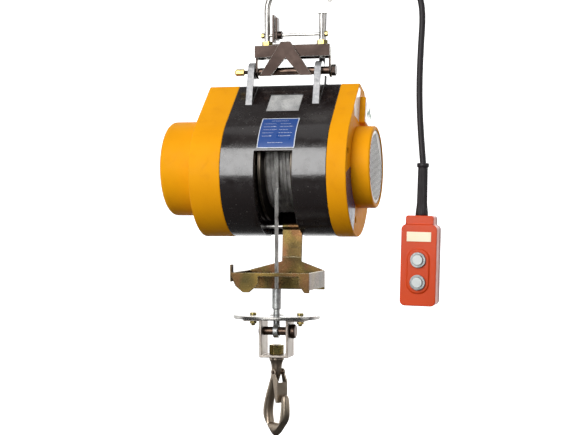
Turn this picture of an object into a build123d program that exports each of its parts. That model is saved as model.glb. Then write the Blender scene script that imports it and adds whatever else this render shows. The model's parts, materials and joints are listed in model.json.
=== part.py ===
from build123d import *

import os
from math import acos, atan2, cos, degrees, pi, radians, sin, sqrt, tan

# Small electric wire-rope hoist with its hanger, hook block, limit lever and pendant control.
# Millimetres, +Z up, +X along the drum towards the motor's fan, -Y towards the user.
# The origin is the inside top of the hanger's U-bolt, where a beam or a hook carries the hoist.
# The housing hangs tilted on the long bolt. Its pieces are drawn upright around the shell's
# own centre and put in place by hang(). The limit lever, the rope and the hook block are drawn
# under the middle of the rope slot and moved by below(). The rest is drawn where it hangs.

# ---- fits ----
gap = 0.3                # between pieces of different bodies
running = 0.05           # radial clearance of a pin or shaft in its bore
seat = 0.1               # radial clearance of a piece that sits in a recess

# ---- where the housing hangs ----
hoist_x = -10.0          # middle of the rope slot beside the U-bolt's middle
hinge_drop = 137.0       # origin down to the long bolt's axis
tilt = 15.0              # the housing leans back by this many degrees
hinge_forward = 38.0     # long bolt in front of the shell's centre, measured upright
hinge_up = 160.0         # long bolt above the shell's centre, measured upright

# ---- shell outline: a round belly, two tapering flanks and a flat top ----
shell_radius = 100.0
shell_top = 143.7
shell_taper = 35.0
shell_corner = 9.0
frame_wall = 5.0
housing_wall = 4.0
frame_left = -84.0
frame_right = 83.5
left_end = -134.4
right_end = 114.0
partition_inside = 30.0
partition_thick = 6.0
drum_rise = 10.0         # drum axis above the shell's centre

# ---- rope slot, window and nameplate in the main frame ----
slot_top = 7.0
slot_back = 46.0
plate_left = -26.0
plate_right = 33.0
plate_low = 11.0
plate_high = 67.0
plate_thick = 1.0
window_half = 27.0
window_low = 84.0
window_high = 121.0
window_deep = 2.5
window_plate_thick = 1.5

# ---- lugs that hang on the long bolt ----
lug_thick = 11.0
lug_radius = 15.0
left_lug = -58.0
right_lug = 51.0
lug_foot = 92.0          # lowest point of a lug above the shell's centre

# ---- long bolt, its spacers and its nut ----
bolt_radius = 5.0
bolt_end_radius = 3.0
bolt_head_flats = 16.0
bolt_head_high = 6.5
bolt_nut_flats = 10.0
bolt_nut_long = 14.0
bolt_nut_left = -97.0
spacer_wall = 1.2

# ---- hanger bracket, gusset and U-bolt ----
bracket_half = 61.5
bracket_deep = 36.0
bracket_plate = 3.5
bracket_top_thick = 4.5
bracket_top = -97.0
bracket_lip = 19.0
cheek_radius = 11.0
gusset_thick = 3.0
gusset_apex = -92.0
gusset_foot = -146.0
gusset_half = 43.0
gusset_band = 19.0
u_radius = 5.0
u_half = 45.0
u_leg_low = -117.0
u_nut_flats = 16.0
u_nut_high = 8.0

# ---- cross rod and the locking lever on it ----
cross_rod_radius = 2.5
cross_rod_z = -79.0
cross_nut_flats = 8.0
cross_nut_thick = 4.5
lock_left = -35.0
lock_plate = 3.5
lock_top = -47.0
lock_low = -91.0
lock_half_deep = 8.0
lock_eye = 6.5
foot_left = -35.0
foot_right = -8.0
foot_thick = 3.0
foot_high = 7.0

# ---- drum and its winding ----
flange_radius = 85.0
flange_thick = 4.0
drum_half = 28.0
hub_radius = 44.0
hub_wall = 6.0
winding_radius = 71.5
rope_radius = 3.0
drum_shaft_radius = 15.0
drum_bearing_radius = 24.0
drum_shaft_left = -66.0
drum_shaft_right = 37.5

# ---- motor ----
motor_shaft_radius = 8.0
shaft_left = -163.0
shaft_right = 134.0
stator_radius = 60.0
stator_bore = 37.5
rotor_radius = 37.0
stator_left = 48.0
stator_right = 96.0
motor_shell_wall = 3.0
motor_flange_radius = 78.0
motor_flange_thick = 4.0
motor_shell_right = 103.0
shield_thick = 5.0
motor_bearing_radius = 16.0
motor_bearing_wide = 5.0
fan_radius = 50.0
fan_left = 119.0
fan_right = 133.0
fan_blades = 9
fan_blade_thick = 2.0
fan_hub_radius = 14.0
capacitor_radius = 18.0
capacitor_long = 42.0

# ---- gears: motor pinion to lay gear, lay pinion to drum gear ----
fast_module = 1.0
fast_pinion_teeth = 12
fast_gear_teeth = 72
slow_module = 1.2
slow_pinion_teeth = 12
slow_gear_teeth = 58
pressure_angle = 20.0
addendum = 0.8
dedendum = 1.15
backlash = 0.3           # share of the module taken off each tooth
spindle_radius = 4.6     # motor shaft from the pinion to the brake
fast_left = -88.0
fast_right = -78.0
slow_left = -64.0
slow_right = -52.0
lay_angle = 70.0         # direction of the lay shaft, from the rear upwards
lay_shaft_radius = 4.0
lay_bearing_radius = 9.5
gear_plate_left = -102.0
gear_plate_right = -96.0
gear_plate_radius = 66.0
gear_post_radius = 5.0
gear_post_circle = 60.0

# ---- brake in the left cap ----
brake_disc_radius = 46.0
brake_disc_left = -142.0
brake_disc_right = -136.0
armature_left = -147.0
armature_right = -143.0
armature_radius = 48.0
coil_left = -172.0
coil_right = -149.0
coil_radius = 50.0
coil_bore = 13.0
brake_pin_radius = 2.5
brake_pin_circle = 40.0

# ---- caps, vent grille and terminal box ----
left_cap_radius = 76.0
left_cap_end = -192.4
cap_wall = 3.5
left_cap_round = 9.0
left_cap_lug_high = 8.0
cap_rim_wide = 24.0      # inner rim that the left cap is screwed on by
cap_rim_thick = 6.0
right_cap_radius = 64.5
right_cap_end = 143.0
grille_radius = 58.0
grille_thick = 2.0
grille_recess = 1.5
grille_slots = 12
grille_slot_wide = 3.4
grille_pitch = 7.4
grille_slope = -28.0
box_front = -14.0
box_back = 34.0
box_low = 80.0
box_high = 123.0
box_deep = 9.0
box_cover_thick = 1.5

# ---- screws ----
screw_radius = 2.5
screw_head_radius = 4.5
screw_head_high = 3.0
screw_circle = 86.0      # screws that hold the housing halves, about the drum's axis
screw_boss_radius = 7.5
screw_boss_long = 20.0
screw_sink = 6.0
right_top_screw = (-40.0, 90.0)  # moved forwards from its circle, clear of the terminal box

# ---- limit lever ----
lever_pin_y = 7.0
lever_pin_z = -85.0
lever_pin_radius = 3.0
lever_knuckle = 5.5
lever_sheet = 2.5
strip_left = -4.0
strip_right = 28.0
strip_low = -440.0
tray_left = -58.0
tray_right = 65.0
tray_front = -135.0
tray_back = -25.0
tray_top = -454.0
tray_low = -484.0
apron_bar = 6.0
lobe_inner_left = -14.0
lobe_inner_right = 49.0
side_ear_high = 12.0

# ---- rope end and hook block ----
rope_tail = 22.0         # rope above the point where it leaves the winding
ferrule_top = -481.0
ferrule_radius = 7.0
ferrule_low = -512.0
collar_radius = 5.0
eye_pin_z = -546.0
eye_thick = 8.0
eye_wall = 4.0
stop_half_x = 68.0
stop_half_y = 51.0
stop_thick = 5.0
stop_top = -521.5
stop_hole = 12.0
yoke_sheet = 3.7
yoke_half_inside = 19.0
yoke_deep = 40.0
yoke_web_top = -582.0
yoke_flange_reach = 48.0
yoke_bolt_x = 37.5
yoke_bolt_radius = 3.0
yoke_bolt_head = 3.6
block_pin_radius = 6.5
block_pin_left_head = 4.5
block_pin_right_head = 8.0
block_pin_head_radius = 11.0

# ---- hook, its nut and its latch ----
shank_radius = 6.5
shank_nut_flats = 20.0
shank_nut_high = 15.0
collar_wide = 11.0       # radius of the forged collar under the yoke
collar_thick = 5.0
neck_top = -592.0
hook_turn = -40.0        # the mouth turns from +X towards the user
hook_thick = 15.0
bowl_z = -668.0
bowl_inner_radius = 16.0
bowl_outer_radius = 29.0
bowl_outer_shift = -1.0
bowl_outer_drop = 12.7
tip_top = -641.0
tip_width = 10.0
throat_top = -617.0
latch_pivot_z = -609.0
latch_pivot_x = 4.0
latch_pin_radius = 2.5
latch_sheet = 2.0
latch_low = -655.0
latch_reach = 15.0

# ---- cord and its gland ----
cord_radius = 5.0
gland_x = 44.0
gland_y = 4.0
gland_high = 22.0
gland_flats = 22.0
cord_y = 16.0
cord_end_z = -285.3
# The route's points are chosen by hand: out of the gland, behind the U-bolt's right leg, over
# the carrier arm and down to the boot on the pendant.
cord_route = [
    (34.0, 42.2, -142.0),
    (34.3, 49.9, -113.3),
    (36.2, 46.5, -89.0),
    (39.6, 34.5, -56.0),
    (43.5, 19.0, -24.0),
    (63.0, 17.0, 7.0),
    (94.0, 16.0, 25.0),
    (136.0, 16.0, 27.5),
    (172.0, 16.0, 15.0),
    (196.0, 16.0, -12.0),
    (204.2, 16.0, -47.0),
    (200.2, 16.0, -106.0),
    (197.9, 16.0, -167.0),
    (199.3, 16.0, -226.0),
    (204.0, 16.0, -285.3),
]
gland_hole = 8.0
cord_rest = 0.4          # between the cord and the arm under it
arm_corners = (4, 9)     # corners of the route that the arm follows
arm_deep = 14.0
arm_thick = 3.0
clamp_half = 8.0
clamp_high = 20.0
boot_radius = 8.0
boot_ring_radius = 9.5
boot_ring_high = 7.0
boot_foot_radius = 10.0

# ---- pendant control ----
handset_x = 204.0
handset_lean = 1.5       # the pendant hangs with its foot a little to the left
handset_top = -368.0
handset_high = 141.0
handset_wide = 56.0
handset_deep = 50.0
handset_split = 32.0     # depth of the front shell
handset_wall = 3.0
handset_corner = 8.0
handset_neck_wide = 44.0
handset_neck_high = 14.0
button_z = (-69.0, -104.0)
button_radius = 8.0
bezel_radius = 12.0
bezel_high = 4.0
button_proud = 4.5
button_travel = 4.0
pad_wide = 34.0
pad_proud = 2.5
label_wide = 38.0
label_high = 15.0
label_thick = 0.8
label_z = -33.0
handset_screw_radius = 1.5
handset_screw_head = 3.0
handset_screw_long = 12.0
switch_wide = 26.0
switch_deep = 16.0
switch_high = 66.0

# ---- places worked out from the sizes above ----
lean = radians(tilt)
shell_y = hinge_forward * cos(lean) - hinge_up * sin(lean)
shell_z = -hinge_drop - hinge_forward * sin(lean) - hinge_up * cos(lean)
drum_y = shell_y + drum_rise * sin(lean)
drum_z = shell_z + drum_rise * cos(lean)
rope_y = drum_y - (winding_radius + gap + rope_radius)
partition_outside = partition_inside + partition_thick
lay_distance = fast_module * (fast_pinion_teeth + fast_gear_teeth) / 2
lay_y = lay_distance * cos(radians(lay_angle))
lay_z = drum_rise + lay_distance * sin(radians(lay_angle))
arch_z = u_radius - u_half
lever_y = shell_y + lever_pin_y * cos(lean) + lever_pin_z * sin(lean)
lever_z = shell_z - lever_pin_y * sin(lean) + lever_pin_z * cos(lean)
handset_front = cord_y - handset_deep / 2
handset_bottom = handset_top - handset_high


def block(x0, x1, y0, y1, z0, z1):
    """A box between two corners."""
    size = (x1 - x0, y1 - y0, z1 - z0)
    return Pos((x0 + x1) / 2, (y0 + y1) / 2, (z0 + z1) / 2) * Box(*size)


def rod_x(radius, x0, x1, y=0.0, z=0.0):
    """A cylinder along X."""
    return Pos((x0 + x1) / 2, y, z) * Rot(0, 90, 0) * Cylinder(radius, x1 - x0)


def rod_y(radius, y0, y1, x=0.0, z=0.0):
    """A cylinder along Y."""
    return Pos(x, (y0 + y1) / 2, z) * Rot(90, 0, 0) * Cylinder(radius, y1 - y0)


def rod_z(radius, z0, z1, x=0.0, y=0.0):
    """A cylinder along Z."""
    return Pos(x, y, (z0 + z1) / 2) * Cylinder(radius, z1 - z0)


def ring_x(outer, inner, x0, x1, y=0.0, z=0.0):
    """A tube along X."""
    return rod_x(outer, x0, x1, y, z) - rod_x(inner, x0 - 1, x1 + 1, y, z)


def hex_prism(flats, high):
    """A hexagonal prism along Z from the ground up."""
    return extrude(RegularPolygon(flats / 2, 6, major_radius=False), high)


def nut_z(flats, high, hole, x, y, z):
    """A nut along Z whose lower face is at z."""
    nut = Pos(x, y, z) * hex_prism(flats, high)
    return nut - rod_z(hole, z - 1, z + high + 1, x, y)


def nut_x(flats, wide, x, y, z):
    """A solid hexagon along X that starts at x."""
    return Pos(x, y, z) * Rot(0, 90, 0) * hex_prism(flats, wide)


def screw_bosses(places, x0, x1, keep):
    """Bosses for lengthwise screws, trimmed to the shell and joined to its wall."""
    bosses = None
    for y, z in places:
        boss = rod_x(screw_boss_radius, x0, x1, y, z)
        root = sqrt(y * y + z * z)
        out = block(x0, x1, root, shell_radius + 60, -screw_boss_radius, screw_boss_radius)
        boss += Rot(degrees(atan2(z, y)), 0, 0) * out
        boss = boss & keep
        bosses = boss if bosses is None else bosses + boss
    return bosses


def on_circle(radius, count, start=0.0):
    """Points (y, z) evenly spread on a circle about the drum's axis, in the upright housing."""
    turns = [radians(start + 360 * i / count) for i in range(count)]
    return [(radius * cos(a), drum_rise + radius * sin(a)) for a in turns]


def hang(shape):
    """Puts a piece of the upright housing where it hangs."""
    return Pos(hoist_x, shell_y, shell_z) * Rot(-tilt, 0, 0) * shape


def below(shape):
    """Puts a piece drawn under the rope slot's middle where it hangs."""
    return Pos(hoist_x, 0, 0) * shape


def outline(grow):
    """The shell's outline in the YZ plane, grown by a distance."""
    radius = shell_radius + grow
    taper = radians(shell_taper)
    touch_y = radius * cos(taper)
    touch_z = radius * sin(taper)
    rise = shell_top + grow - touch_z
    top_y = touch_y - rise * tan(taper)
    top_z = shell_top + grow
    belly = ThreePointArc((-touch_y, touch_z), (0, -radius), (touch_y, touch_z))
    cover = Polyline((touch_y, touch_z), (top_y, top_z), (-top_y, top_z), (-touch_y, touch_z))
    face = make_face(belly + cover)
    corners = face.vertices().sort_by(Axis.Y)[-2:]
    return fillet(corners, max(shell_corner + grow, 1.0))


def slab(grow, x0, x1):
    """The shell's outline as a solid between two places along X."""
    return Pos(x0, 0, 0) * extrude(Plane.YZ * outline(grow), x1 - x0)


def gear_outline(module, teeth, first_tooth):
    """A spur gear's outline; first_tooth is the direction of one tooth's middle in radians."""
    pitch = module * teeth / 2
    base = pitch * cos(radians(pressure_angle))
    root = pitch - dedendum * module
    tip = pitch + addendum * module
    thick = (pi / 2 - backlash) * module / (2 * pitch)
    involute = tan(radians(pressure_angle)) - radians(pressure_angle)

    def half_angle(radius):
        lowest = max(radius, base)
        angle = acos(min(1.0, base / lowest))
        return thick + involute - (tan(angle) - angle)

    flank = [root, max(base, root + 0.2 * module), pitch, tip]
    points = []
    for i in range(teeth):
        middle = first_tooth + 2 * pi * i / teeth
        for radius in flank:
            a = middle - half_angle(radius)
            points.append((radius * cos(a), radius * sin(a)))
        for radius in reversed(flank):
            a = middle + half_angle(radius)
            points.append((radius * cos(a), radius * sin(a)))
    return make_face(Polyline(*points, close=True))


def gear_x(module, teeth, first_tooth, x0, x1, y, z):
    """A spur gear along X about the axis through (y, z)."""
    body = extrude(Plane.YZ * gear_outline(module, teeth, first_tooth), x1 - x0)
    return Pos(x0, y, z) * body


def screws_x(places, x_face, out, reach):
    """Screws along X: heads outside the face, shanks reaching in; out is +1 or -1."""
    pieces = []
    for y, z in places:
        head = sorted((x_face, x_face + out * screw_head_high))
        shank = sorted((x_face, x_face - out * reach))
        screw = rod_x(screw_head_radius, *head, y, z) + rod_x(screw_radius, *shank, y, z)
        pieces.append(screw)
    return pieces


def holes_x(places, x0, x1):
    """Clearance holes for screws along X."""
    return [rod_x(screw_radius + running, x0, x1, y, z) for y, z in places]


def save(name, *pieces):
    """Writes one node; several pieces stay separate solids."""
    solids = [s for p in pieces for s in p.solids()]
    shape = solids[0] if len(solids) == 1 else Compound(children=solids)
    export_step(shape, f"parts/{name}.step")


# Places of the screws and posts, (y, z) in the upright housing.
motor_screws = on_circle(motor_flange_radius - 6, 4, 45)
gear_posts = on_circle(gear_post_circle, 4, 25)
left_screws = on_circle(screw_circle, 4)
right_screws = [left_screws[0], left_screws[2], left_screws[3], right_top_screw]
left_cap_screws = on_circle(left_cap_radius - 16, 4, 45)
brake_pins = on_circle(brake_pin_circle, 3, 90)
lay_direction = radians(lay_angle)


def make_main_frame():
    """Black centre frame: shell, two partitions, rope slot, window recess and lugs."""
    body = slab(0, frame_left, frame_right)
    inner = partition_inside
    body -= slab(-frame_wall, frame_left - 1, -partition_outside)
    body -= slab(-frame_wall, -inner, inner)
    body -= slab(-frame_wall, partition_outside, frame_right + 1)
    reach = shell_radius + 5
    body -= block(-inner, inner, -reach, slot_back, -reach, slot_top)
    for side in (-1, 1):
        low, high = sorted((side * (inner - 1), side * (partition_outside + 1)))
        body -= rod_x(drum_bearing_radius, low, high, 0, drum_rise)
        body -= rod_x(lever_pin_radius, low, high, lever_pin_y, lever_pin_z)
    body -= rod_x(lay_bearing_radius, -partition_outside - 1, -inner + 1, lay_y, lay_z)
    shell = slab(-frame_wall / 2, frame_left, frame_right)
    left_boss = screw_bosses(left_screws, frame_left, frame_left + screw_boss_long, shell)
    right_boss = screw_bosses(right_screws, frame_right - screw_boss_long, frame_right, shell)
    body += left_boss + right_boss
    for hole in holes_x(left_screws, frame_left - 1, frame_left + screw_boss_long - 4):
        body -= hole
    for hole in holes_x(right_screws, frame_right - screw_boss_long + 4, frame_right + 1):
        body -= hole
    for hole in holes_x(motor_screws, inner - 1, partition_outside + 1):
        body -= hole
    for hole in holes_x(gear_posts, -partition_outside - 1, -inner + 1):
        body -= hole
    for middle in (left_lug, right_lug):
        left = middle - lug_thick / 2
        right = middle + lug_thick / 2
        lug = rod_x(lug_radius, left, right, -hinge_forward, hinge_up)
        front = -hinge_forward - lug_radius
        lug += block(left, right, front, front + 2 * lug_radius, lug_foot, hinge_up)
        lug -= slab(-frame_wall, left - 1, right + 1)
        body += lug
        body -= rod_x(bolt_radius + running, left - 1, right + 1, -hinge_forward, hinge_up)
    recess = slab(1, -window_half, window_half) - slab(-window_deep, -60, 60)
    body -= recess & block(-60, 60, -130, 0, window_low, window_high)
    body -= rod_z(gland_hole, shell_top - 20, shell_top + 5, gland_x, gland_y)
    return body


def make_cup(x_open, x_end, cap_hole, screws):
    """A housing half: a tray of the shell's outline, open towards the main frame."""
    low, high = sorted((x_open, x_end))
    body = slab(0, low, high)
    if x_end > x_open:
        body -= slab(-housing_wall, low - 1, high - housing_wall)
    else:
        body -= slab(-housing_wall, low + housing_wall, high + 1)
    body -= rod_x(cap_hole, x_end - 10, x_end + 10, 0, drum_rise)
    body += screw_bosses(screws, low, high, slab(-housing_wall / 2, low, high))
    inward = 1 if x_end < x_open else -1
    for hole in holes_x(screws, low - 1, high + 1):
        body -= hole
    for y, z in screws:
        sink = sorted((x_end - inward, x_end + inward * screw_sink))
        body -= rod_x(screw_head_radius + seat, *sink, y, z)
    return body


def make_left_cap():
    """Deep round cap over the brake, with a lug on top."""
    body = rod_x(left_cap_radius, left_cap_end, left_end, 0, drum_rise)
    rim = body.edges().filter_by(GeomType.CIRCLE).sort_by(Axis.X)[0]
    body = fillet(rim, left_cap_round)
    top = drum_rise + left_cap_radius
    body += block(left_end - 20, left_end, -9, 9, top - 10, top + left_cap_lug_high)
    body -= rod_x(left_cap_radius - cap_wall, left_cap_end + cap_wall, left_end + 1, 0, drum_rise)
    rim_left = left_end - cap_rim_thick
    body += ring_x(left_cap_radius - 1, left_cap_radius - cap_rim_wide, rim_left, left_end,
                   0, drum_rise)
    for hole in holes_x(left_cap_screws, rim_left - 1, left_end + 1):
        body -= hole
    return body


def make_grille():
    """Round vent plate with slanting slots."""
    outside = right_cap_end - grille_recess
    plate = rod_x(grille_radius - seat, outside - grille_thick, outside, 0, drum_rise)
    middle = (grille_slots - 1) / 2
    for i in range(grille_slots):
        across = (i - middle) * grille_pitch - 4.0
        half = sqrt(max((grille_radius - 6) ** 2 - across**2, 0))
        cut = Box(grille_thick * 4, 2 * half, grille_slot_wide)
        turn = Rot(grille_slope, 0, 0) * Pos(0, 0, across) * cut
        plate -= Pos(outside, 0, drum_rise) * turn
    return plate


def make_fan():
    """Cooling fan: a hub, a back plate and straight blades."""
    fan = rod_x(fan_hub_radius, fan_left, fan_right, 0, drum_rise)
    fan += rod_x(fan_radius, fan_left, fan_left + 2, 0, drum_rise)
    for i in range(fan_blades):
        long = fan_radius - fan_hub_radius + 4
        blade = block(0, fan_right - fan_left, fan_hub_radius - 4, fan_hub_radius - 4 + long,
                      -fan_blade_thick / 2, fan_blade_thick / 2)
        fan += Pos(fan_left, 0, drum_rise) * Rot(360 * i / fan_blades, 0, 0) * blade
    return fan - rod_x(motor_shaft_radius, fan_left - 1, fan_right + 1, 0, drum_rise)


def make_drum():
    """Rope drum: two flanges, a hollow barrel and a hollow shaft through both bearings."""
    body = rod_x(drum_shaft_radius, drum_shaft_left, drum_shaft_right, 0, drum_rise)
    for side in (-1, 1):
        low, high = sorted((side * drum_half, side * (drum_half - flange_thick)))
        body += rod_x(flange_radius, low, high, 0, drum_rise)
    body += ring_x(hub_radius, hub_radius - hub_wall, -drum_half, drum_half, 0, drum_rise)
    bore = motor_shaft_radius + 1.5
    return body - rod_x(bore, drum_shaft_left - 1, drum_shaft_right + 1, 0, drum_rise)


def make_bracket():
    """Inverted channel with a cheek at each end, on the long bolt."""
    half = bracket_deep / 2
    low = bracket_top - bracket_lip
    body = block(-bracket_half, bracket_half, -half, half, low, bracket_top)
    body -= block(-bracket_half - 1, bracket_half + 1, -half + bracket_plate, half - bracket_plate,
                  low - 1, bracket_top - bracket_top_thick)
    for x0 in (-bracket_half, bracket_half - bracket_plate):
        x1 = x0 + bracket_plate
        cheek = rod_x(cheek_radius, x0, x1, 0, -hinge_drop)
        cheek += block(x0, x1, -cheek_radius, cheek_radius, -hinge_drop, bracket_top - 1)
        body += cheek
        body -= rod_x(bolt_radius + running, x0 - 1, x1 + 1, 0, -hinge_drop)
    for x in (-u_half, u_half):
        body -= rod_z(u_radius + running, low - 1, bracket_top + 1, x)
    return body


def make_gusset():
    """A-shaped plate on the bracket's front lip."""
    half = gusset_half
    rise = gusset_apex - gusset_foot
    step = gusset_band
    outer = [(-half, 0), (-8, rise), (8, rise), (half, 0)]
    inner = [(half - step, 0), (0, rise - 26), (-half + step, 0)]
    face = make_face(Polyline(*outer, *inner, close=True))
    plate = extrude(Plane.XZ * face, gusset_thick)
    return Pos(hoist_x, -bracket_deep / 2, gusset_foot) * plate


def u_shape(radius):
    """The U-bolt's arch and legs as a round bar of a radius."""
    low = (-u_half, 0, u_leg_low)
    path = Line(low, (-u_half, 0, arch_z))
    path += ThreePointArc((-u_half, 0, arch_z), (0, 0, arch_z + u_half), (u_half, 0, arch_z))
    path += Line((u_half, 0, arch_z), (u_half, 0, u_leg_low))
    return sweep(Plane(low, z_dir=(0, 0, 1)) * Circle(radius), path)


def make_u_bolt():
    """U-bolt, cross drilled for the rod."""
    reach = u_half + 10
    return u_shape(u_radius) - rod_x(cross_rod_radius, -reach, reach, 0, cross_rod_z)


def make_lock_lever():
    """Locking lever: two plates side by side and an eye on the cross rod."""
    body = None
    for i in range(2):
        x0 = lock_left + i * (lock_plate + 1.5)
        x1 = x0 + lock_plate
        plate = block(x0, x1, -lock_half_deep, lock_half_deep, lock_low + 4 * i, lock_top - 4 * i)
        body = plate if body is None else body + plate
    eye_right = lock_left + 2 * lock_plate + 8
    body += rod_x(lock_eye, lock_left, eye_right, 0, cross_rod_z)
    return body - rod_x(cross_rod_radius + running, lock_left - 1, eye_right + 1, 0, cross_rod_z)


def make_lever():
    """Limit lever: knuckle, hanging strip and the open tray that the rope runs through."""
    body = rod_x(lever_knuckle, strip_left, strip_right, lever_y, lever_z)
    sheet = lever_sheet
    lean_out = tray_back - lever_y
    drop = lever_z - strip_low
    strip = Polyline((lever_y - sheet, lever_z), (lever_y + sheet, lever_z),
                     (lever_y + lean_out, strip_low), (lever_y + lean_out - sheet, strip_low),
                     close=True)
    body += Pos(strip_left, 0, 0) * extrude(Plane.YZ * make_face(strip), strip_right - strip_left)
    flare = Polyline((strip_left, strip_low + drop / 8), (strip_right, strip_low + drop / 8),
                     (strip_right, strip_low), (tray_right, tray_top), (tray_right, tray_low),
                     (tray_left, tray_low), (tray_left, tray_top), (strip_left, strip_low),
                     close=True)
    rear = extrude(Plane.XZ * make_face(flare), sheet)
    body += Pos(0, tray_back, 0) * rear
    apron = Polyline(
        (tray_left, tray_top), (tray_right, tray_top), (tray_right, tray_low),
        (lobe_inner_right + 8, tray_low), (lobe_inner_right, tray_low + 12),
        (lobe_inner_right, tray_top - apron_bar), (lobe_inner_left, tray_top - apron_bar),
        (lobe_inner_left, tray_low + 12), (lobe_inner_left - 14, tray_low),
        (tray_left + 20, tray_low), (tray_left + 8, tray_low + 10), close=True)
    front = extrude(Plane.XZ * make_face(apron), sheet)
    body += Pos(0, tray_front + sheet, 0) * front
    body += block(tray_right - sheet, tray_right, tray_front, tray_back, tray_low + 4, tray_top)
    body += block(tray_left, tray_left + sheet, tray_front, tray_back, tray_low + 16, tray_top)
    body += block(tray_left, tray_left + sheet, tray_front, tray_front + 12,
                  tray_top - 1, tray_top + side_ear_high)
    bore = lever_pin_radius + running
    return body - rod_x(bore, strip_left - 1, strip_right + 1, lever_y, lever_z)


def make_stop_plate():
    """Oval stop plate with the rope's hole and two bolt holes."""
    low = stop_top - stop_thick
    plate = Pos(0, rope_y, low) * extrude(Ellipse(stop_half_x, stop_half_y), stop_thick)
    plate -= rod_z(stop_hole, low - 1, stop_top + 1, 0, rope_y)
    for side in (-1, 1):
        plate -= rod_z(yoke_bolt_radius + running, low - 1, stop_top + 1, side * yoke_bolt_x, rope_y)
    return plate


def make_yoke():
    """Hat-shaped strap under the stop plate that holds the hook's shank."""
    top = stop_top - stop_thick
    y0 = rope_y - yoke_deep / 2
    y1 = rope_y + yoke_deep / 2
    inside = yoke_half_inside
    web_low = yoke_web_top - yoke_sheet
    body = block(-inside - yoke_sheet, inside + yoke_sheet, y0, y1, web_low, yoke_web_top)
    for side in (-1, 1):
        strap = sorted((side * inside, side * (inside + yoke_sheet)))
        flange = sorted((side * inside, side * yoke_flange_reach))
        body += block(*strap, y0, y1, web_low, top)
        body += block(*flange, y0, y1, top - yoke_sheet, top)
        body -= rod_z(yoke_bolt_radius + running, top - 10, top + 1, side * yoke_bolt_x, rope_y)
    body -= rod_x(block_pin_radius + running, -60, 60, rope_y, eye_pin_z)
    return body - rod_z(shank_radius + running, web_low - 1, yoke_web_top + 1, 0, rope_y)


def make_hook():
    """Forged hook in its own plane: shank, collar, neck, spine, bowl and tip."""
    half = hook_thick / 2
    outer_x = bowl_outer_shift
    outer_z = bowl_z - bowl_outer_drop
    left = outer_x - bowl_outer_radius
    inner = bowl_inner_radius
    throat = [(10, throat_top), (2, throat_top - 5), (-inner + 1, bowl_z + inner), (-inner, bowl_z)]

    def sheet(points, thick=hook_thick):
        return Pos(0, thick / 2, 0) * extrude(Plane.XZ * make_face(Polyline(*points, close=True)),
                                              thick)

    bowl = Pos(outer_x, 0, outer_z) * Rot(90, 0, 0) * Cylinder(bowl_outer_radius, hook_thick)
    spine = [(-8, neck_top - 8), (9, neck_top - 8), *throat, (left, outer_z), (left, bowl_z),
             (left + 3, bowl_z + 18), (-12, throat_top + 2)]
    mouth = [*reversed(throat), (60, throat_top), (60, tip_top + 4), (inner + 1, tip_top + 4),
             (inner, bowl_z)]
    tip = [(inner, bowl_z), (inner + 1, tip_top), (inner + 1 + tip_width / 2, tip_top + 2),
           (inner + 1 + tip_width, tip_top - 8), (outer_x + bowl_outer_radius, outer_z)]
    body = bowl + sheet(spine)
    body -= Pos(0, 0, bowl_z) * Rot(90, 0, 0) * Cylinder(inner, hook_thick + 2)
    body -= sheet(mouth, hook_thick + 2)
    body += sheet(tip)
    body += rod_z(shank_radius, latch_pivot_z, yoke_web_top + shank_nut_high + 1)
    body += rod_z(half, neck_top - 16, neck_top)
    collar_top = yoke_web_top - yoke_sheet - gap
    body += rod_z(collar_wide, collar_top - collar_thick, collar_top)
    return body - rod_y(latch_pin_radius, -20, 20, latch_pivot_x, latch_pivot_z)


def turned(shape):
    """Turns a piece of the hook about the shank and puts it under the rope."""
    return Pos(hoist_x, rope_y, 0) * Rot(0, 0, hook_turn) * shape


def make_latch():
    """Sheet latch: two ears on the pin and a tongue that closes the mouth."""
    inside = hook_thick / 2 + gap
    outside = inside + latch_sheet
    x = latch_pivot_x
    z = latch_pivot_z
    reach = latch_reach
    tongue_top = throat_top - 7
    body = block(reach - latch_sheet, reach, -outside, outside, latch_low, tongue_top)
    side = [(x - 4, z), (x + 4, z), (reach, tongue_top + 2), (reach, latch_low),
            (reach - 5, latch_low), (x, tongue_top)]
    for low in (-outside, inside):
        ear = rod_y(5.5, low, low + latch_sheet, x, z)
        cheek = extrude(Plane.XZ * make_face(Polyline(*side, close=True)), latch_sheet)
        body += ear + Pos(0, low + latch_sheet, 0) * cheek
    return body - rod_y(latch_pin_radius + running, -outside - 1, outside + 1, x, z)


def route_radii(points):
    """The arc radius at each corner of a route: as large as its two runs allow."""
    radii = []
    for before, corner, after in zip(points, points[1:], points[2:]):
        first = Vector(*corner) - Vector(*before)
        second = Vector(*after) - Vector(*corner)
        turn = radians(first.get_angle(second))
        radii.append(0.45 * min(first.length, second.length) / tan(turn / 2))
    return radii


def make_cord():
    """The free cord: straight runs joined by tangent arcs."""
    radii = route_radii(cord_route)
    print("cord radii", [round(r) for r in radii])
    path = FilletPolyline(*cord_route, radius=radii)
    start = Vector(*cord_route[0])
    section = Plane(start, z_dir=Vector(*cord_route[1]) - start) * Circle(cord_radius)
    body = sweep(section, path)
    print("cord length", round(path.length, 1), "tube / section x length",
          round(body.volume / (pi * cord_radius**2 * path.length), 4))
    return body


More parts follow.
